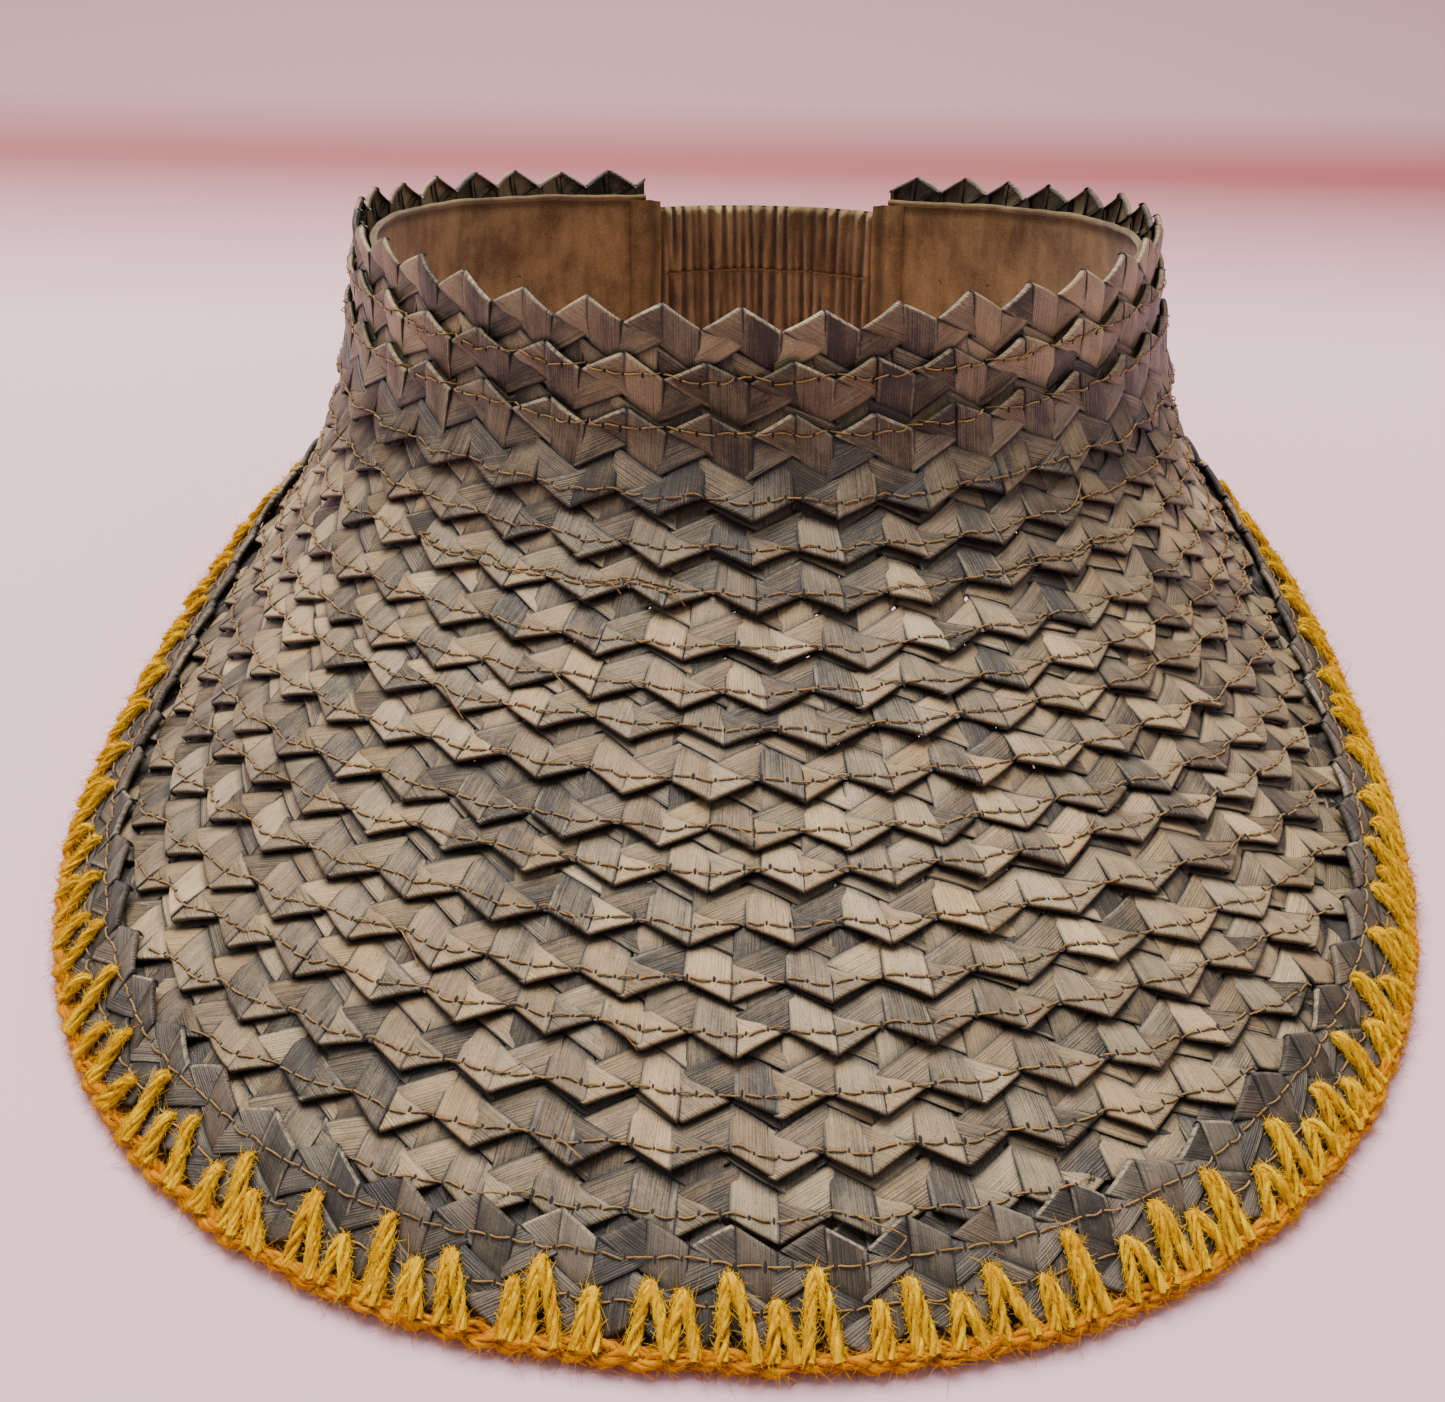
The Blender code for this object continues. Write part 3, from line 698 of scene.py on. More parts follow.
def loose_copies(key, strip, cells, curls, local):
    """A strip in every cell: its x, y and lift, each copy turned, shifted, bowed and curled a little."""
    count = len(cells)
    top_curl, tip_curl, tip_length = curls
    x = strip["x"][None] + cells[:, None, None]
    y = np.repeat(strip["y"][None], count, axis=0)
    turn = local.normal(0, 0.018, count)[:, None, None]
    shift = local.normal(0, 0.008, (2, count, 1, 1))
    from_middle_x = x - (strip["x"].mean() + cells[:, None, None])
    from_middle_y = y - strip["y"].mean()
    x = x + shift[0] - turn * from_middle_y
    y = y + shift[1] + turn * from_middle_x
    lift = strip["lift"][None] + local.normal(0, 0.05, count)[:, None, None]
    bow = local.normal(0.0, 0.10, count)[:, None, None]
    lift = lift + bow * ((2 * strip["across"] / (WIDE * PITCH) - 1) ** 2)[None]
    if key in TOP_STRIPS:
        lift = lift + top_curl[:count, None, None] * smooth((y + 0.25) / (PEAK + 0.25)) ** 1.3
    if key in BOTTOM_STRIPS:
        own = slice(None, count) if key == "right_bottom" else slice(1, None)
        y = y - tip_length[own, None, None] * smooth((-BAND + 0.25 - y) / (PEAK + 0.25))
        lift = lift + tip_curl[own, None, None] * smooth((-BAND + 0.25 - y) / (PEAK + 0.25)) ** 1.3
    return x, y, lift


def vectors(shape, *parts):
    """Vectors from three parts that are numbers or arrays, each spread over the shape."""
    return np.stack([np.broadcast_to(part, shape) for part in parts], axis=-1)


def build_row(row, name, material, tones, warmth, end_at, over=None):
    """The mesh of a row of plait. tones: low and high tone of its strips; over: the row on top of it."""
    cells = row.cells()
    count = len(cells)
    local = np.random.default_rng(1000 + row.number)
    curls = (
        local.uniform(0.1, 1.0, count + 1) ** 1.3 * row.curl[0],
        local.uniform(0.15, 1.0, count + 1) ** 1.2 * row.curl[1],
        local.normal(0, 0.022, count + 1),
    )
    run_tones = local.uniform(0, 1, (3, count + 2))[0, :count]
    gathered = Gather()
    for key, strip in CELL.items():
        x, y, lift = loose_copies(key, strip, cells, curls, local)
        bearing, run, swell = row.place(x, y)
        limit = end_at(run)
        kept = np.abs(bearing) <= limit
        bearing = np.clip(bearing, -limit, limit)
        if row.number in BRIM_ROWS:
            border = edge_run(bearing) - ROWS_END
            kept &= run <= border
            run = np.minimum(run, border)
        points = skin(bearing, run, row.base_lift(bearing, run) + lift - 0.55 + swell)
        points[..., 2] = np.maximum(points[..., 2], TABLE_CLEARANCE)
        faces = grid_faces(*strip["x"].shape)
        if row.mirrored:
            faces = faces[:, ::-1]
        every = (faces[None] + (np.arange(count) * strip["x"].size)[:, None, None]).reshape(-1, 4)
        tone = tones[0] + (tones[1] - tones[0]) * local.beta(1.3, 1.7, count)
        tone = tone + 0.10 * (run_tones - 0.5)
        fray = np.where(local.uniform(0, 1, count) < 0.35, 1.0, 0.45)[:, None, None]
        warm = np.clip(local.normal(warmth, 0.22, count), 0, 1)
        seed = local.uniform(0, 1, count)[:, None, None]
        # Painted shade from the strip's creases and from the row above it.
        grime = strip["crease_shade"][None]
        if over is not None:
            grime = np.maximum(grime, grime_under(over, bearing, run))
        shape = x.shape
        gathered.add(
            points,
            every[kept.reshape(-1)[every].any(axis=1)],
            fibre=vectors(shape, strip["along"][None] + 40 * seed, strip["across"][None] + 7 * seed, seed),
            tone=vectors(shape, tone[:, None, None], warm[:, None, None], strip["wear_and_highlight"][None] * fray),
            grime=vectors(shape, grime, 0.0, 0.0),
        )
    points, faces, values = gathered.merged()
    row.tree = BVHTree.FromPolygons(points.tolist(), faces.tolist())
    used = np.unique(faces)
    renumber = np.full(len(points), -1)
    renumber[used] = np.arange(len(used))
    values = {key: value[used] for key, value in values.items()}
    return make_piece(name, points[used], renumber[faces], material, values)


TOOTH_SPAN = TIP + PEAK
BRAID_WIDTH = 20.3
EDGE_PITCH = 13.1
EDGE_SHOWN = 18.4


def always(value):
    """A function that gives the same value everywhere."""
    return lambda places: np.full_like(places, value)


def crown_row(number, peak, pitch, phase):
    """A row of the crown, by the run of its peaks; rows 1 and 2 lean back under the next one."""
    stretch = BRAID_WIDTH / (TOOTH_SPAN * pitch)
    tilt = CROWN_TILT if number < 3 else 0.0
    curl = (0.4, 0.0) if number == 1 else (0.9, 0.9)

    def base(bearing, run):
        return -tilt * np.maximum(run - peak - 2.0, 0)

    line = Line(always(peak + 8.0), REAR_BEARING)
    anchor = always(peak + PEAK * pitch * stretch)
    return Row(number, line, anchor, False, pitch, stretch, phase, base, curl)


def brim_row(number, tip, pitch, phase):
    """A row of the brim, by the run of its tips; it leans down under the row above."""
    ends = TABLE_BEARINGS[(EDGE_RUNS - 9.0 - (tip - 17.5) > 3) & (TABLE_BEARINGS > 0)]
    stretch = BRAID_WIDTH / (TOOTH_SPAN * pitch)

    def base(bearing, run):
        return -BRIM_TILT * np.maximum(tip - run, 0)

    line = Line(always(tip - 4.0), min(ends.max(), REAR_BEARING))
    anchor = always(tip - TIP * pitch * stretch)
    return Row(number, line, anchor, True, pitch, stretch, phase, base, (0.0, 0.75))


def edge_row(number, phase, lowered, inset, longer):
    """A row along the brim's edge: the edge braid, or its turned-under back, lowered and set in."""
    stretch = EDGE_SHOWN / (TOOTH_SPAN * EDGE_PITCH) * longer

    def base(bearing, run):
        inwards = edge_run(bearing) - run
        lift = np.interp(inwards, [0, 9.8], [0.3, 1.45])
        side = smooth((np.abs(bearing) - 0.9) / 0.6) * smooth((inwards - 8) / 10)
        dive = 1.7 * smooth((inwards - 12.5) / 4) if lowered else 0.0
        return lift + 0.9 * side - lowered - dive

    def anchor(bearing):
        return edge_run(bearing) - EDGE_SHOWN - inset + PEAK * EDGE_PITCH * stretch

    line = Line(lambda bearing: edge_run(bearing) - 9.0, REAR_BEARING)
    curl = (0.0, 0.0) if lowered else (0.9, 0.2)
    return Row(number, line, anchor, False, EDGE_PITCH, stretch, phase, base, curl)


rows = {number: crown_row(number, *values) for number, values in CROWN_ROWS.items()}
rows.update({number: brim_row(number, *values) for number, values in BRIM_ROWS.items()})
rows[18] = edge_row(18, 0.11, 0.0, 0.0, 1.0)
rows[19] = edge_row(19, 0.61, 1.6, 3.0, 1.12)

# Low and high tone of each row's strips; rows 3 and 4, and row 2 a little, are kept dark as painted shade
# of the collar below the crown's wall.
ROW_TONES_AND_COLLAR_SHADE = {number: (0.05, 0.90) for number in BRIM_ROWS}
ROW_TONES_AND_COLLAR_SHADE.update({1: (0.0, 0.80), 2: (0.0, 0.62), 3: (0.0, 0.38), 4: (0.0, 0.42), 5: (0.02, 0.75)})
ROW_TONES_AND_COLLAR_SHADE.update({16: (0.04, 0.80), 17: (0.03, 0.74), 18: (0.03, 0.52)})

for number in range(1, 19):
    over = rows.get(number - 1) if 3 < number < 18 else None
    material = EDGE_LEAF if number == 18 else LEAF
    warmth = 0.12 if number < 4 else 0.35
    made = build_row(
        rows[number], "plait_%02d" % number, material, ROW_TONES_AND_COLLAR_SHADE[number], warmth, rear_end, over
    )
    name = "crown_braid" if number < 4 else "brim_braid" if number < 18 else "edge_braid"
    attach(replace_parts(made, "%s_%02d" % (name, number)), "crown")
# The turned-under back is kept almost black, painted shade where it shows through gaps between row 17 and
# the edge braid.
under = build_row(rows[19], "plait_18_under", EDGE_LEAF, (0.0, 0.16), 0.15, always(2.0))
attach(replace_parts(under, "edge_braid_18"), "crown")


# ---- strands ------------------------------------------------------------------------------------
STITCH = 3.35
THREAD_RADIUS = 0.16
THREAD_SIDES = 6
HOLE_SIDES = 10
NO_PLAIT = -2.0


def unit(directions):
    """The same directions with length one."""
    return directions / np.maximum(np.linalg.norm(directions, axis=-1, keepdims=True), 1e-9)


def square_to(tangent, side):
    """The part of side that is square to the tangent, with length one."""
    return unit(side - tangent * np.sum(side * tangent, axis=-1, keepdims=True))


def around(side, other, angles):
    """Directions at these angles round each point of a strand."""
    cosines = side[..., None, :] * np.cos(angles)[:, None]
    return cosines + other[..., None, :] * np.sin(angles)[:, None]


def distances_along(path):
    """How far along a path each of its points lies."""
    return np.concatenate([[0], np.cumsum(np.linalg.norm(np.diff(path, axis=0), axis=1))])


def resample(path, spacing):
    """A path with points at an even spacing."""
    travelled = distances_along(path)
    places = np.linspace(0, travelled[-1], max(int(travelled[-1] / spacing), 4))
    return np.column_stack([np.interp(places, travelled, path[:, axis]) for axis in range(3)])


def softened(values, reach):
    """Each value averaged with those within this many places of it."""
    width = 2 * reach + 1
    return np.convolve(np.pad(values, reach, mode="edge"), np.ones(width) / width, mode="valid")


def surface_lift(trees, bearing, run, above=9.0):
    """The lift of the topmost plait at each place."""
    start = skin(bearing, run, above)
    inwards = -from_table(TABLE_NORMALS, bearing, run)
    lifts = np.full(start.shape[:-1], NO_PLAIT)
    for index in np.ndindex(lifts.shape):
        for tree in trees:
            hit = tree.ray_cast(start[index].tolist(), inwards[index].tolist(), above + 5)
            if hit[0] is not None:
                lifts[index] = max(lifts[index], above - hit[3])
    return lifts


def tube(gathered, path, side, radius, sections, seed, bright, warm=0.0):
    """A round strand along path (n, 3), with side vectors not along it; radius may vary."""
    tangent = unit(np.gradient(path, axis=0))
    side = square_to(tangent, side)
    angles = np.linspace(0, 2 * math.pi, sections, endpoint=False)
    ring = around(side, np.cross(tangent, side), angles)
    radius = np.broadcast_to(np.asarray(radius, float), len(path))
    shape = (len(path), sections)
    along = distances_along(path)[:, None] + 30 * seed
    gathered.add(
        path[:, None] + ring * radius[:, None, None],
        grid_faces(len(path), sections, wrap=True),
        fibre=vectors(shape, along, (angles / 6.283)[None], seed),
        tone=vectors(shape, bright, warm, 0.0),
    )


def sew(name, line_places, trees, node, seed):
    """A line of running stitches and their needle holes, on the node of the thread."""
    local = np.random.default_rng(seed)
    start, stop = line_places.start + 2.0, line_places.stop - 2.0
    gathered = Gather()
    holes = Gather()
    here = start
    share = np.linspace(0, 1, 8)
    while here < stop:
        long = STITCH * local.uniform(0.82, 1.2)
        gap = local.uniform(0.15, 0.5)
        end = min(here + long, stop)
        drift = local.normal(0, 0.16, 2)
        bearing, run = line_places.at(here + (end - here) * share)
        run = run + drift[0] + (drift[1] - drift[0]) * share
        run = run + local.uniform(-0.45, 0.45) * np.sin(math.pi * share)
        lifts = surface_lift(trees, bearing, run)
        chord = lifts[0] + (lifts[-1] - lifts[0]) * share
        over = np.maximum(lifts, chord) + THREAD_RADIUS
        over = np.convolve(np.pad(over, 1, mode="edge"), [0.25, 0.5, 0.25], mode="valid")
        over = np.maximum(over, lifts + 0.6 * THREAD_RADIUS) + 0.22 * np.sin(math.pi * share)
        over[[0, -1]] = lifts[[0, -1]] - 0.35
        path = skin(bearing, run, over)
        side = from_table(TABLE_NORMALS, bearing, run)
        strand_seed = local.uniform()
        tube(gathered, path, side, THREAD_RADIUS, THREAD_SIDES, strand_seed, local.uniform(0.7, 1.15))
        size = local.uniform(0.28, 0.5)
        spot_bearing, spot_run = line_places.at(np.array([end + gap / 2]))
        spot_lift = surface_lift(trees, spot_bearing, spot_run)
        if spot_lift[0] > NO_PLAIT + 0.1:
            pit(holes, spot_bearing[0], spot_run[0], spot_lift[0], size, local.uniform(1.0, 2.6))
        here = end + gap
    if local.uniform() < 0.9:
        loose_end(gathered, line_places, trees, local)
    piece = gathered.piece(name, THREAD)
    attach(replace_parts(piece, node), "crown")
    if holes.count:
        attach(holes.piece(name + "_holes", HOLE_SHADE), "crown")


def pit(gathered, bearing, run, lift, size, length):
    """A needle hole: a small shallow dish on the plait in painted shade, this many times longer than its
    size.
    """
    centre = skin(bearing, run, lift)
    normal = from_table(TABLE_NORMALS, bearing, run)
    up = skin(bearing, run - 1.0, lift) - centre
    up = up - normal * np.dot(up, normal)
    up /= np.linalg.norm(up)
    right = np.cross(up, normal)
    angles = np.linspace(0, 2 * math.pi, HOLE_SIDES, endpoint=False)
    oval = right * (np.cos(angles) * size * 0.65)[:, None] + up * (np.sin(angles) * size * length)[:, None]
    profile = ((0.02, 0.07), (0.7, 0.06), (1.0, -0.05))
    rings = [centre + oval * reach + normal * height for reach, height in profile]
    gathered.add(np.concatenate(rings), grid_faces(len(profile), HOLE_SIDES, wrap=True))


def loose_end(gathered, line_places, trees, local):
    """A cut thread end lying loosely on the plait."""
    at = local.uniform(line_places.start * 0.5, line_places.stop * 0.5)
    share = np.linspace(0, 1, 12)
    reach = local.uniform(3.0, 7.0)
    bearing, run = line_places.at(at + reach * share)
    run = run + local.choice([-1, 1]) * reach * 0.6 * share**1.5
    lifts = surface_lift(trees, bearing, run)
    over = np.maximum(softened(lifts, 2), lifts) + 0.35 + 0.7 * np.sin(math.pi * share * 0.9)
    path = skin(bearing, run, over)
    side = from_table(TABLE_NORMALS, bearing, run)
    tube(gathered, path, side, THREAD_RADIUS * 0.8, THREAD_SIDES, local.uniform(), 1.0)


class RowPlaces:
    """The places of a stitch line at a height y in a row's cell."""

    def __init__(self, row, y, dip=0.0, at_tips=True):
        self.row = row
        self.y = y
        self.dip = dip if at_tips else -dip
        self.start = row.line.start + 1.0
        self.stop = row.line.stop - 1.0

    def at(self, distance):
        """Bearing and run at these distances along the row."""
        x = distance / self.row.pitch - self.row.phase
        x = -x if self.row.mirrored else x
        bearing, run, _ = self.row.place(x, self.y - self.dip * np.cos(2 * math.pi * x))
        return bearing, run


def clipped(places, inside_edge=False):
    """Limits a stitch line to the plait, or to the part of it inside the edge braid."""
    samples = np.linspace(places.start, places.stop, 800)
    bearing, run = places.at(samples)
    free = np.abs(bearing) < rear_end(run) - 0.012
    if inside_edge:
        free &= run < edge_run(bearing) - EDGE_SHOWN + 1.0
    places.start = samples[free].min()
    places.stop = samples[free].max()
    return places


def sew_again(label, start, stop):
    """A second run of stitches on row 5, between two distances from its middle."""
    places = RowPlaces(rows[5], -BAND + 0.07, 0.05)
    middle = (places.start + places.stop) / 2
    places.start = middle + start
    places.stop = middle + stop
    sew("stitches_05_again_" + label, places, (rows[5].tree, rows[6].tree), "thread_05", int(90 + start))


sew_again("left", -72.0, -8.0)
sew_again("right", 48.0, 92.0)
for label, row, neighbour, y, dip, at_tips, seed in (
    ("02", 2, 1, 0.03, 0.03, False, 2),
    ("03_upper", 3, 2, 0.03, 0.02, False, 3),
    ("03_lower", 3, 4, -BAND, 0.03, True, 33),
    ("18_inner", 18, 17, -0.16, 0.0, False, 18),
    ("18_outer", 18, 19, -0.62, 0.0, False, 19),
):
    places = clipped(RowPlaces(rows[row], y, dip, at_tips))
    sew("stitches_" + label, places, (rows[row].tree, rows[neighbour].tree), "thread_" + label, seed)
for number in BRIM_ROWS:
    trees = (rows[number].tree, rows[number + 1].tree)
    places = clipped(RowPlaces(rows[number], -BAND, 0.035), inside_edge=True)
    sew("stitches_%02d" % number, places, trees, "thread_%02d" % number, number + 40)

# ---- yellow yarn --------------------------------------------------------------------------------
STRAND_SPACING = 0.5
CORD_TURN = 9.5
CORD_OFFSET = 0.75
LONG_STITCH = 11.0
SHORT_STITCH = 6.8


def twisted(gathered, path, out, plies, radius, offset, pitch, local, bright, warm=0.0):
    """Plies wound round a path; out is the direction away from the visor."""
    path = resample(path, STRAND_SPACING)
    tangent = unit(np.gradient(path, axis=0))
    side = unit(out - tangent * (tangent @ out)[:, None])
    other = np.cross(tangent, side)
    travelled = np.arange(len(path)) * STRAND_SPACING
    start = local.uniform(0, 6.28)
    for ply in range(plies):
        angle = start + travelled * 2 * math.pi / pitch + ply * 2 * math.pi / plies
        angle = angle + 0.5 * np.sin(travelled / 2.7 + ply * 2 + start)
        away = side * np.cos(angle)[:, None] + other * np.sin(angle)[:, None]
        swell = 1 + 0.2 * np.sin(travelled / 1.9 + ply * 1.3 + start)
        swell = swell + local.normal(0, 0.07, len(path))
        centre = path + away * offset * (1 + 0.25 * np.sin(travelled / 3.3 + ply))[:, None]
        shade = bright * local.uniform(0.8, 1.12)
        tube(gathered, centre, away, radius * swell, 7, local.uniform(), shade, warm)
    return path


def hairs(gathered, path, core, per_mm, reach, local, thick, bright, warm=0.0):
    """Loose fibres lying along a yarn and standing off it."""
    count = int(distances_along(path)[-1] * per_mm * (1.0))
    index = local.integers(1, len(path) - 1, count)
    along = unit(path[index] - path[index - 1])
    out = local.normal(0, 1, (count, 3))
    out = square_to(along, out)
    length = reach * local.uniform(0.3, 1.0, (count, 1)) ** 1.4
    lean = along * local.choice([-1.0, 1.0], (count, 1)) * local.uniform(0.4, 1.0, (count, 1))
    lift = local.uniform(0.0, 0.75, (count, 1)) ** 1.6
    bend = local.normal(0, 0.35, (count, 3))
    t = np.linspace(0, 1, 4)[None, :, None]
    base = path[index] + out * core * local.uniform(0.7, 1.05, (count, 1))
    curve = base[:, None] + (lean + out * lift)[:, None] * t * length[:, None]
    curve = curve + (bend * length)[:, None] * t**2
    curve[..., 2] = np.maximum(curve[..., 2], 0.12)
    tangent = unit(np.gradient(curve, axis=1))
    side = unit(np.cross(tangent, out[:, None] + 0.01))
    ring = around(side, np.cross(tangent, side), np.radians([0, 120, 240]))
    taper = thick * np.array([1.0, 0.95, 0.8, 0.4])[None, :, None, None]
    faces = grid_faces(4, 3, wrap=True)
    shape = (count, 4, 3)
    gathered.add(
        curve[:, :, None] + ring * taper,
        faces[None] + (np.arange(count) * 12)[:, None, None],
        fibre=vectors(shape, local.uniform(0, 60, (count, 1, 1)), 0.0, 0.0),
        tone=vectors(shape, bright * local.uniform(0.75, 1.25, (count, 1, 1)), warm, 0.0),
    )


def stitch_path(at, top, spread, lean, edge_line, local):
    """One blanket stitch: up from the edge, through the braid and back down."""
    share = np.linspace(0, 1, 26)
    height = np.sin(math.pi * share) ** 0.6 * top
    apart = np.sin(math.pi * (share - 0.5)) * spread / 2
    sideways = apart * (1.25 - 0.75 * height / top) + lean * height / top
    bearing = edge_line.bearing(at + sideways)
    run = edge_run(bearing) + 0.4 - height
    lifts = surface_lift((rows[18].tree, rows[19].tree), bearing, run)
    lifts = np.where(lifts < -1.5, 0.6, lifts)
    over = np.maximum(softened(lifts, 3), lifts) + 0.8 + 0.3 * np.sin(2 * math.pi * share) ** 2
    over = over - 1.3 * np.exp(-(((share - 0.5) / 0.05) ** 2))
    over = over + np.where(share > 0.5, local.uniform(-0.1, 0.5), 0.0)
    leg = skin(bearing, run, over)
    leg[:, 2] = np.maximum(leg[:, 2], 1.0)
    return leg, from_table(TABLE_NORMALS, bearing, run).mean(axis=0)


def outer_cord(gathered, edge_line, local):
    """The twisted cord along the brim's edge: two strands of four plies."""
    distance = np.arange(edge_line.start, edge_line.stop, 1.0)
    bearing = edge_line.bearing(distance)
    up = np.array([0, 0, 1.0])
    for strand in range(2):
        wobble = wander(77 + strand, 17.0, 0.45)(distance)
        turn = distance / CORD_TURN * 2 * math.pi + strand * math.pi
        run = edge_run(bearing) + 0.35 + wobble * 0.6 + CORD_OFFSET * np.cos(turn)
        path = skin(bearing, run, 0.6 + CORD_OFFSET * np.sin(turn))
        path[:, 2] = np.maximum(path[:, 2], 1.1)
        path = twisted(gathered, path, up, 4, 0.46, 0.56, 9.0, local, 0.8, 0.75)
        hairs(gathered, path, 1.0, 14.0, 3.6, local, 0.05, 0.75, 0.6)


def edging():
    """Blanket stitch in yellow yarn round the brim, long and short by turns, with its cord."""
    local = np.random.default_rng(5)
    gathered = Gather()
    edge_line = Line(edge_run, rear_end(61.0))
    outer_cord(gathered, edge_line, local)
    row = rows[18]
    first = int(row.line.start / EDGE_PITCH) - 1
    last = int(row.line.stop / EDGE_PITCH) + 2
    for tooth in range(2 * first, 2 * last):
        place_on_row = (row.phase + 0.5 + tooth / 2) * EDGE_PITCH
        bearing = row.line.bearing(np.array(place_on_row))
        at = np.interp(bearing, edge_line.fine, edge_line.travelled) + local.normal(0, 0.7)
        if not edge_line.start + 3 < at < edge_line.stop - 3:
            continue
        long_turn = tooth % 2 == 0
        top = (LONG_STITCH if long_turn else SHORT_STITCH) + local.normal(0, 0.8)
        leftwards = smooth(-(at + 50.0) / 70.0)
        spread = local.uniform(1.4, 4.2) * (1 - 0.7 * leftwards)
        lean = local.normal(-2.0 if long_turn else -1.2, 0.9) + 2.8 * leftwards
        leg, out = stitch_path(at + 1.0, top, spread, lean, edge_line, local)
        bright = local.uniform(0.9, 1.15)
        path = twisted(gathered, leg, out, 5, 0.42, 0.58, 12.0, local, bright)
        hairs(gathered, path, 0.98, 26.0, 1.5, local, 0.06, bright)
        hairs(gathered, path, 0.9, 5.0, 3.4, local, 0.04, bright)
    return gathered.piece("yarn_blanket_stitch", YARN)


yarn = edging()
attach(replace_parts(yarn, "yarn_edging"), "crown")


# ---- cloth --------------------------------------------------------------------------------------
LINING_TOP = 5.5
LINING_BOTTOM = 46.0
LINING_COLUMNS = 700
HEM_RADIUS = 0.8
HEM_SHADE = 0.42
CASING_TOP = 7.5
CASING_HEIGHT = 40.0
CASING_HALF_THICKNESS = 1.9
CASING_COLUMNS = 190
PUCKER_SEED = 11
ELASTIC_WIDTH = 15.0
ELASTIC_HALF_THICKNESS = 0.5
ELASTIC_DROPS = {"upper": 2.8, "lower": 22.0}
BACK_ANGLE = math.pi - REAR_BEARING - 0.03
BACK_LEAN = 1.0 / math.tan(WALL_REAR)
BACK_MIDDLE_DROP = 27.0
MOVING_TURN = 0.11
CASING_LIFT = LINING_LIFT - 0.6
SEAM_RUN = 25.0
SEAM_BOTTOM = 46.5
# (turn past the seam in radians, lift from the lining) across the seam, from the lining outwards
SEAM_PROFILE = (
    (-0.05, -0.15),
    (-0.045, -1.0),
    (-0.02, -1.55),
    (0.0, -1.7),
    (0.02, -1.45),
    (0.03, -2.2),
    (0.05, -2.6),
)


def cloth_piece(name, grid, shades, material=CLOTH, flipped=False):
    """A sheet from equal rows of points, each row with its shade."""
    columns = len(grid[0])
    faces = grid_faces(len(grid), columns)
    tone = vectors((len(grid), columns), np.stack(shades), 0.0, 0.0).reshape(-1, 3)
    faces = faces[:, ::-1] if flipped else faces
    return make_piece(name, np.concatenate(grid), faces, material, {"tone": tone})


def build_lining():
    """The napped lining inside the crown, with a rolled hem along its top."""
    hem = np.radians(np.arange(-60, 200, 26))
    down = np.linspace(LINING_TOP + 2.8, LINING_BOTTOM, 46)
    runs = np.concatenate([LINING_TOP + HEM_RADIUS - HEM_RADIUS * np.sin(hem), down])
    lifts = np.concatenate([-HEM_RADIUS * np.cos(hem), np.zeros(len(down))])
    share = np.linspace(-1, 1, LINING_COLUMNS)
    grid = []
    shades = []
    puff = wander(401, 70.0, 0.5)
    sag = wander(402, 33.0, 0.35)
    for run, lift in zip(runs, lifts):
        bearing = share * (rear_end(run) - 0.01)
        distance = bearing * 90
        swell = puff(distance + run * 0.8) * smooth((run - LINING_TOP - 3) / 10)
        grid.append(skin(bearing, run + 0.35 * sag(distance), LINING_LIFT + lift + swell * 0.5))
        # Painted shade just below the rolled hem and on the hem itself.
        below_hem = 0.55 * math.exp(-(((run - LINING_TOP - 2.9) / 0.9) ** 2)) * (lift > -0.5)
        shade = max(below_hem, HEM_SHADE if run < LINING_TOP + 2.0 else 0.0)
        shades.append(np.full(LINING_COLUMNS, shade))
    return cloth_piece("lining", grid, shades)


def back_points(turn, distance, drop):
    """Points on the band across the open back; turn 0 is the middle of the back."""
    turn, distance, drop = np.broadcast_arrays(turn, distance, drop)
    rim = rim_points(math.pi + turn)
    line = rim_points(math.pi + np.linspace(-BACK_ANGLE, BACK_ANGLE, 15))
    rim[..., 2] = line[:, 2].mean()
    out = np.stack([np.sin(math.pi + turn), -np.cos(math.pi + turn), np.zeros_like(turn)], axis=-1)
    away = CASING_LIFT + distance + drop * BACK_LEAN
    points = rim + out * away[..., None]
    points[..., 2] -= drop
    return points + RIM_CENTRE


def puckers(turn, depth):
    """Gathers of the casing: height of the folds at each turn and depth below the rim."""
    local = np.random.default_rng(PUCKER_SEED)
    x = turn * 88.0
    total = np.zeros_like(x)
    for _ in range(7):
        length = local.uniform(2.2, 4.6)
        phase = local.uniform(0, 6.28)
        skew = local.normal(0, 0.035)
        total += np.sin(2 * math.pi * (x + skew * depth) / length + phase) * local.uniform(0.6, 1.0)
    total = total / 3.1
    pinch = 1 - 0.62 * np.exp(-(((depth - CASING_TOP - CASING_HEIGHT / 2) / 1.3) ** 2))
    pinch = pinch * (1 - 0.35 * np.exp(-(((depth - CASING_TOP) / 1.5) ** 2)))
    slow = np.sin(x / 3.1 + depth * 0.05) * np.sin(x / 7.3 + 1.0)
    return np.maximum(np.tanh(1.5 * total) * (1 + 0.35 * slow), -0.75) * pinch


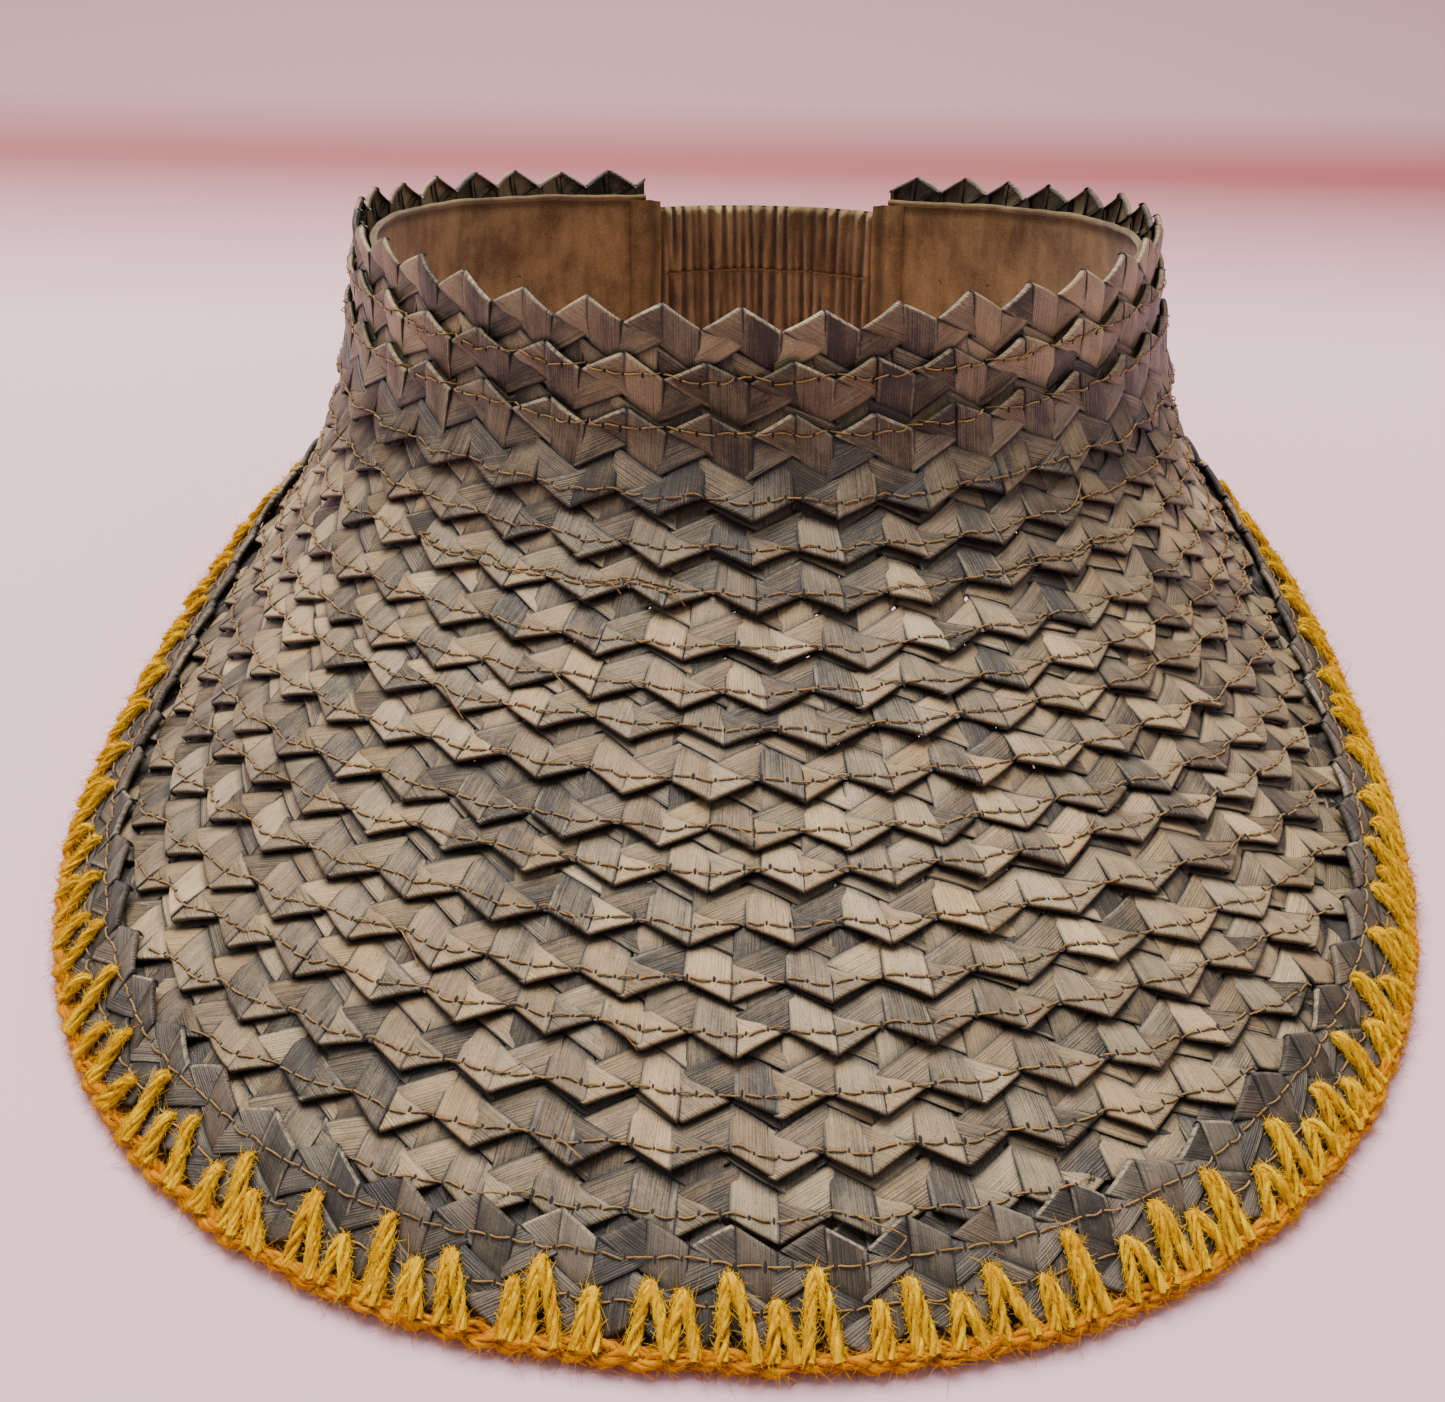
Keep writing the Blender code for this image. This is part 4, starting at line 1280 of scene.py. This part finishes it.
def casing_half(name, sign):
    """Half of the gathered casing: inner face, top fold and outer face in one cloth."""
    turn = np.linspace(0, sign * (BACK_ANGLE + 0.012), CASING_COLUMNS)
    half = CASING_HALF_THICKNESS
    profile = [(-half, drop) for drop in np.linspace(CASING_HEIGHT, 2.2, 40)]
    for angle in np.radians(np.arange(-90, 91, 22.5)):
        profile.append((half * math.sin(angle), 2.0 - 1.5 * math.cos(angle)))
    profile += [(half, drop) for drop in np.linspace(2.2, CASING_HEIGHT, 40)]
    grid = []
    shades = []
    for distance, drop in profile:
        depth = drop + CASING_TOP
        fold = puckers(turn, np.full(CASING_COLUMNS, depth))
        outwards = -1.0 if distance < 0 else 1.0
        sag = 0.9 * np.cos(turn / BACK_ANGLE * math.pi / 2) * math.exp(-drop / 9.0)
        ripple = 0.55 * fold * math.exp(-drop / 6.0)
        size = 1.25 + 0.3 * math.sin(drop * 0.7)
        grid.append(back_points(turn, distance + outwards * fold * size, depth + sag + ripple))
        # Painted shade in the pucker valleys and along the pinched stitch line.
        stitch_line_shade = 0.55 * math.exp(-(((drop - CASING_HEIGHT / 2) / 0.5) ** 2))
        shades.append(np.clip(0.62 * smooth(0.42 - 0.6 * fold) + stitch_line_shade, 0, 0.9))
    return cloth_piece(name, grid, shades, flipped=sign > 0)


def back_place(turn):
    """A point in the middle of the back's height at this turn, in metres in the shared frame."""
    return (back_points(np.array(turn), np.array(0.0), np.array(BACK_MIDDLE_DROP)) * 0.001).tolist()


def seam_point(sign):
    """A point at an end of the casing."""
    return back_place(sign * (BACK_ANGLE - 0.02))


def middle_point(sign):
    """A point in the middle of the back's height, where the middle part of the casing begins."""
    return back_place(sign * MOVING_TURN)


def follow_back(piece, sign):
    """Bakes the transform of a piece of the back, between the crown and the middle, into its mesh; the
    seam and middle points are worked out but not used.
    """
    seam_point(sign)
    middle_point(sign)
    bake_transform(piece)


def elastic_half(name, sign, top):
    """Half of a flat woven elastic inside the casing."""
    columns = 40
    turn = np.linspace(0, sign * BACK_ANGLE, columns)
    half = ELASTIC_HALF_THICKNESS
    corners = ((-half, 0), (half, 0), (half, ELASTIC_WIDTH), (-half, ELASTIC_WIDTH))
    grid = [back_points(turn, distance, top + drop) for distance, drop in corners]
    points = np.stack(grid, axis=1).reshape(-1, 3)
    faces = grid_faces(columns, len(corners), wrap=True)
    return make_piece(name, points, faces, ELASTIC, {"tone": np.zeros_like(points)})


def casing_stitches(name, sign, side):
    """Half of the stitch line across the middle of the casing, on one face of it."""
    local = np.random.default_rng(60 + int(sign) * 3 + int(side))
    gathered = Gather()
    here = 0.0
    end = BACK_ANGLE - 0.02
    share = np.linspace(0, 1, 6)
    up = np.array([[0, 0, 1.0]])
    while here < end:
        step = local.uniform(0.022, 0.030)
        turn = sign * np.minimum(here + step * 0.82 * share, end)
        drop = np.full(len(share), CASING_TOP + CASING_HEIGHT / 2) + local.normal(0, 0.12)
        swell = 0.15 + puckers(turn, drop) * 0.95 + 0.35 * np.sin(math.pi * share)
        path = back_points(turn, side * (CASING_HALF_THICKNESS + swell), drop)
        tube(gathered, path, up, 0.22, THREAD_SIDES, local.uniform(), 0.6)
        here += step
    return gathered.piece(name, THREAD)


def side_seam(name, sign, node):
    """The turned cloth seam between the lining and the casing, on the head side."""
    middle = sign * rear_end(SEAM_RUN)
    runs = np.linspace(LINING_TOP + 1.0, SEAM_BOTTOM, 50)
    ridge = wander(500 + int(sign), 23.0, 0.25)(runs)
    lean = (runs - SEAM_RUN) * 0.0006
    grid = []
    shades = []
    for offset, lift in SEAM_PROFILE:
        grid.append(skin(middle + sign * (offset - lean), runs, LINING_LIFT + lift + ridge))
        # Painted shade along the seam's inner fold.
        shades.append(np.full(len(runs), 0.5 if abs(offset - 0.03) < 0.011 else 0.0))
    piece = cloth_piece(name, grid, shades)
    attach(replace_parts(piece, node), "crown")


lining = build_lining()
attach(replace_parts(lining, "crown_lining"), "crown")
for label, sign in (("left", 1), ("right", -1)):
    casing = casing_half("casing_" + label, sign)
    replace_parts(casing, "elastic_casing")
    follow_back(casing, sign)
    for which, drop in ELASTIC_DROPS.items():
        band = elastic_half("elastic_%s_%s" % (which, label), sign, CASING_TOP + drop)
        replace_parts(band, "elastic_" + which)
        follow_back(band, sign)
    for face, side in (("inner", -1), ("outer", 1)):
        line = casing_stitches("casing_stitches_%s_%s" % (face, label), sign, side)
        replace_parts(line, "casing_stitch_" + face)
        follow_back(line, sign)
side_seam("seam_left", -1, "side_seam_left")
side_seam("seam_right", 1, "side_seam_right")


# ---- surroundings -------------------------------------------------------------------------------
FLOOR_HALF_WIDTH = 4.0
CREASE_SHADE_FROM, CREASE_SHADE_TO = 0.20, 0.37
WALL_FROM, WALL_TO = 0.385, 0.47


def backdrop():
    """A pale pinkish sweep: floor, a dark band behind painted as the shade of its crease, and the wall."""
    look = Look("pale_backdrop")
    place = look.place()
    sideways, depth, _ = look.split(place)
    base = look.mix(look.noise(place, 2.2, 2.0), (0.78, 0.490, 0.555, 1), (0.81, 0.520, 0.585, 1))
    strength = look.ramp(sideways, -0.5, 0.5, 0.88, 1.0)
    # Painted shade: the dark band of the crease, drawn on the flat floor, a little weaker to the left.
    crease_shade = look.times(look.ramp(depth, CREASE_SHADE_FROM, CREASE_SHADE_TO), strength)
    colour = look.mix(crease_shade, base, (0.30, 0.070, 0.072, 1))
    colour = look.mix(look.ramp(depth, WALL_FROM, WALL_TO), colour, (0.42, 0.232, 0.25, 1))
    material = look.finished({"Base Color": colour, "Roughness": 0.8, "Specular IOR Level": 0.2})
    mesh = bpy.data.meshes.new("floor")
    size = FLOOR_HALF_WIDTH
    corners = [(-size, -size, 0), (size, -size, 0), (size, size, 0), (-size, size, 0)]
    mesh.from_pydata(corners, [], [(0, 1, 2, 3)])
    mesh.materials.append(material)
    floor = bpy.data.objects.new("floor", mesh)
    bpy.context.scene.collection.objects.link(floor)
    return floor


def area_light(name, place, aim, size, power, colour):
    """A square soft light aimed at a point."""
    light = bpy.data.lights.new(name, "AREA")
    light.size = size
    light.energy = power
    light.color = colour
    lamp = bpy.data.objects.new(name, light)
    lamp.location = place
    lamp.rotation_euler = (Vector(aim) - Vector(place)).to_track_quat("-Z", "Y").to_euler()
    bpy.context.scene.collection.objects.link(lamp)


def soft_room():
    """Faint even light from all round."""
    world = bpy.data.worlds.new("soft_room")
    world.use_nodes = True
    background = world.node_tree.nodes["Background"]
    background.inputs[0].default_value = (0.95, 0.92, 0.94, 1)
    background.inputs[1].default_value = 0.26
    bpy.context.scene.world = world


def set_camera():
    """The camera, in front of the brim and looking down at it."""
    camera_data = bpy.data.cameras.new("camera")
    camera_data.sensor_width = 36.0
    camera_data.lens = 36.4
    camera = bpy.data.objects.new("camera", camera_data)
    camera.location = (0.0125, -0.2644, 0.2028)
    camera.rotation_euler = (math.radians(90.0 - 37.7), 0, math.radians(3.65))
    bpy.context.scene.collection.objects.link(camera)
    bpy.context.scene.camera = camera


floor = backdrop()
area_light("top_light", (-0.2, 0.45, 1.35), (0, -0.02, 0), 1.0, 47.0, (1.0, 0.98, 0.96))
area_light("left_light", (-1.2, -0.2, 1.0), (0, 0, 0.03), 0.9, 4.5, (0.98, 0.98, 1.0))
area_light("right_light", (1.2, 0.0, 1.0), (0, 0, 0.03), 0.9, 4.0, (1.0, 0.98, 0.97))
soft_room()
set_camera()
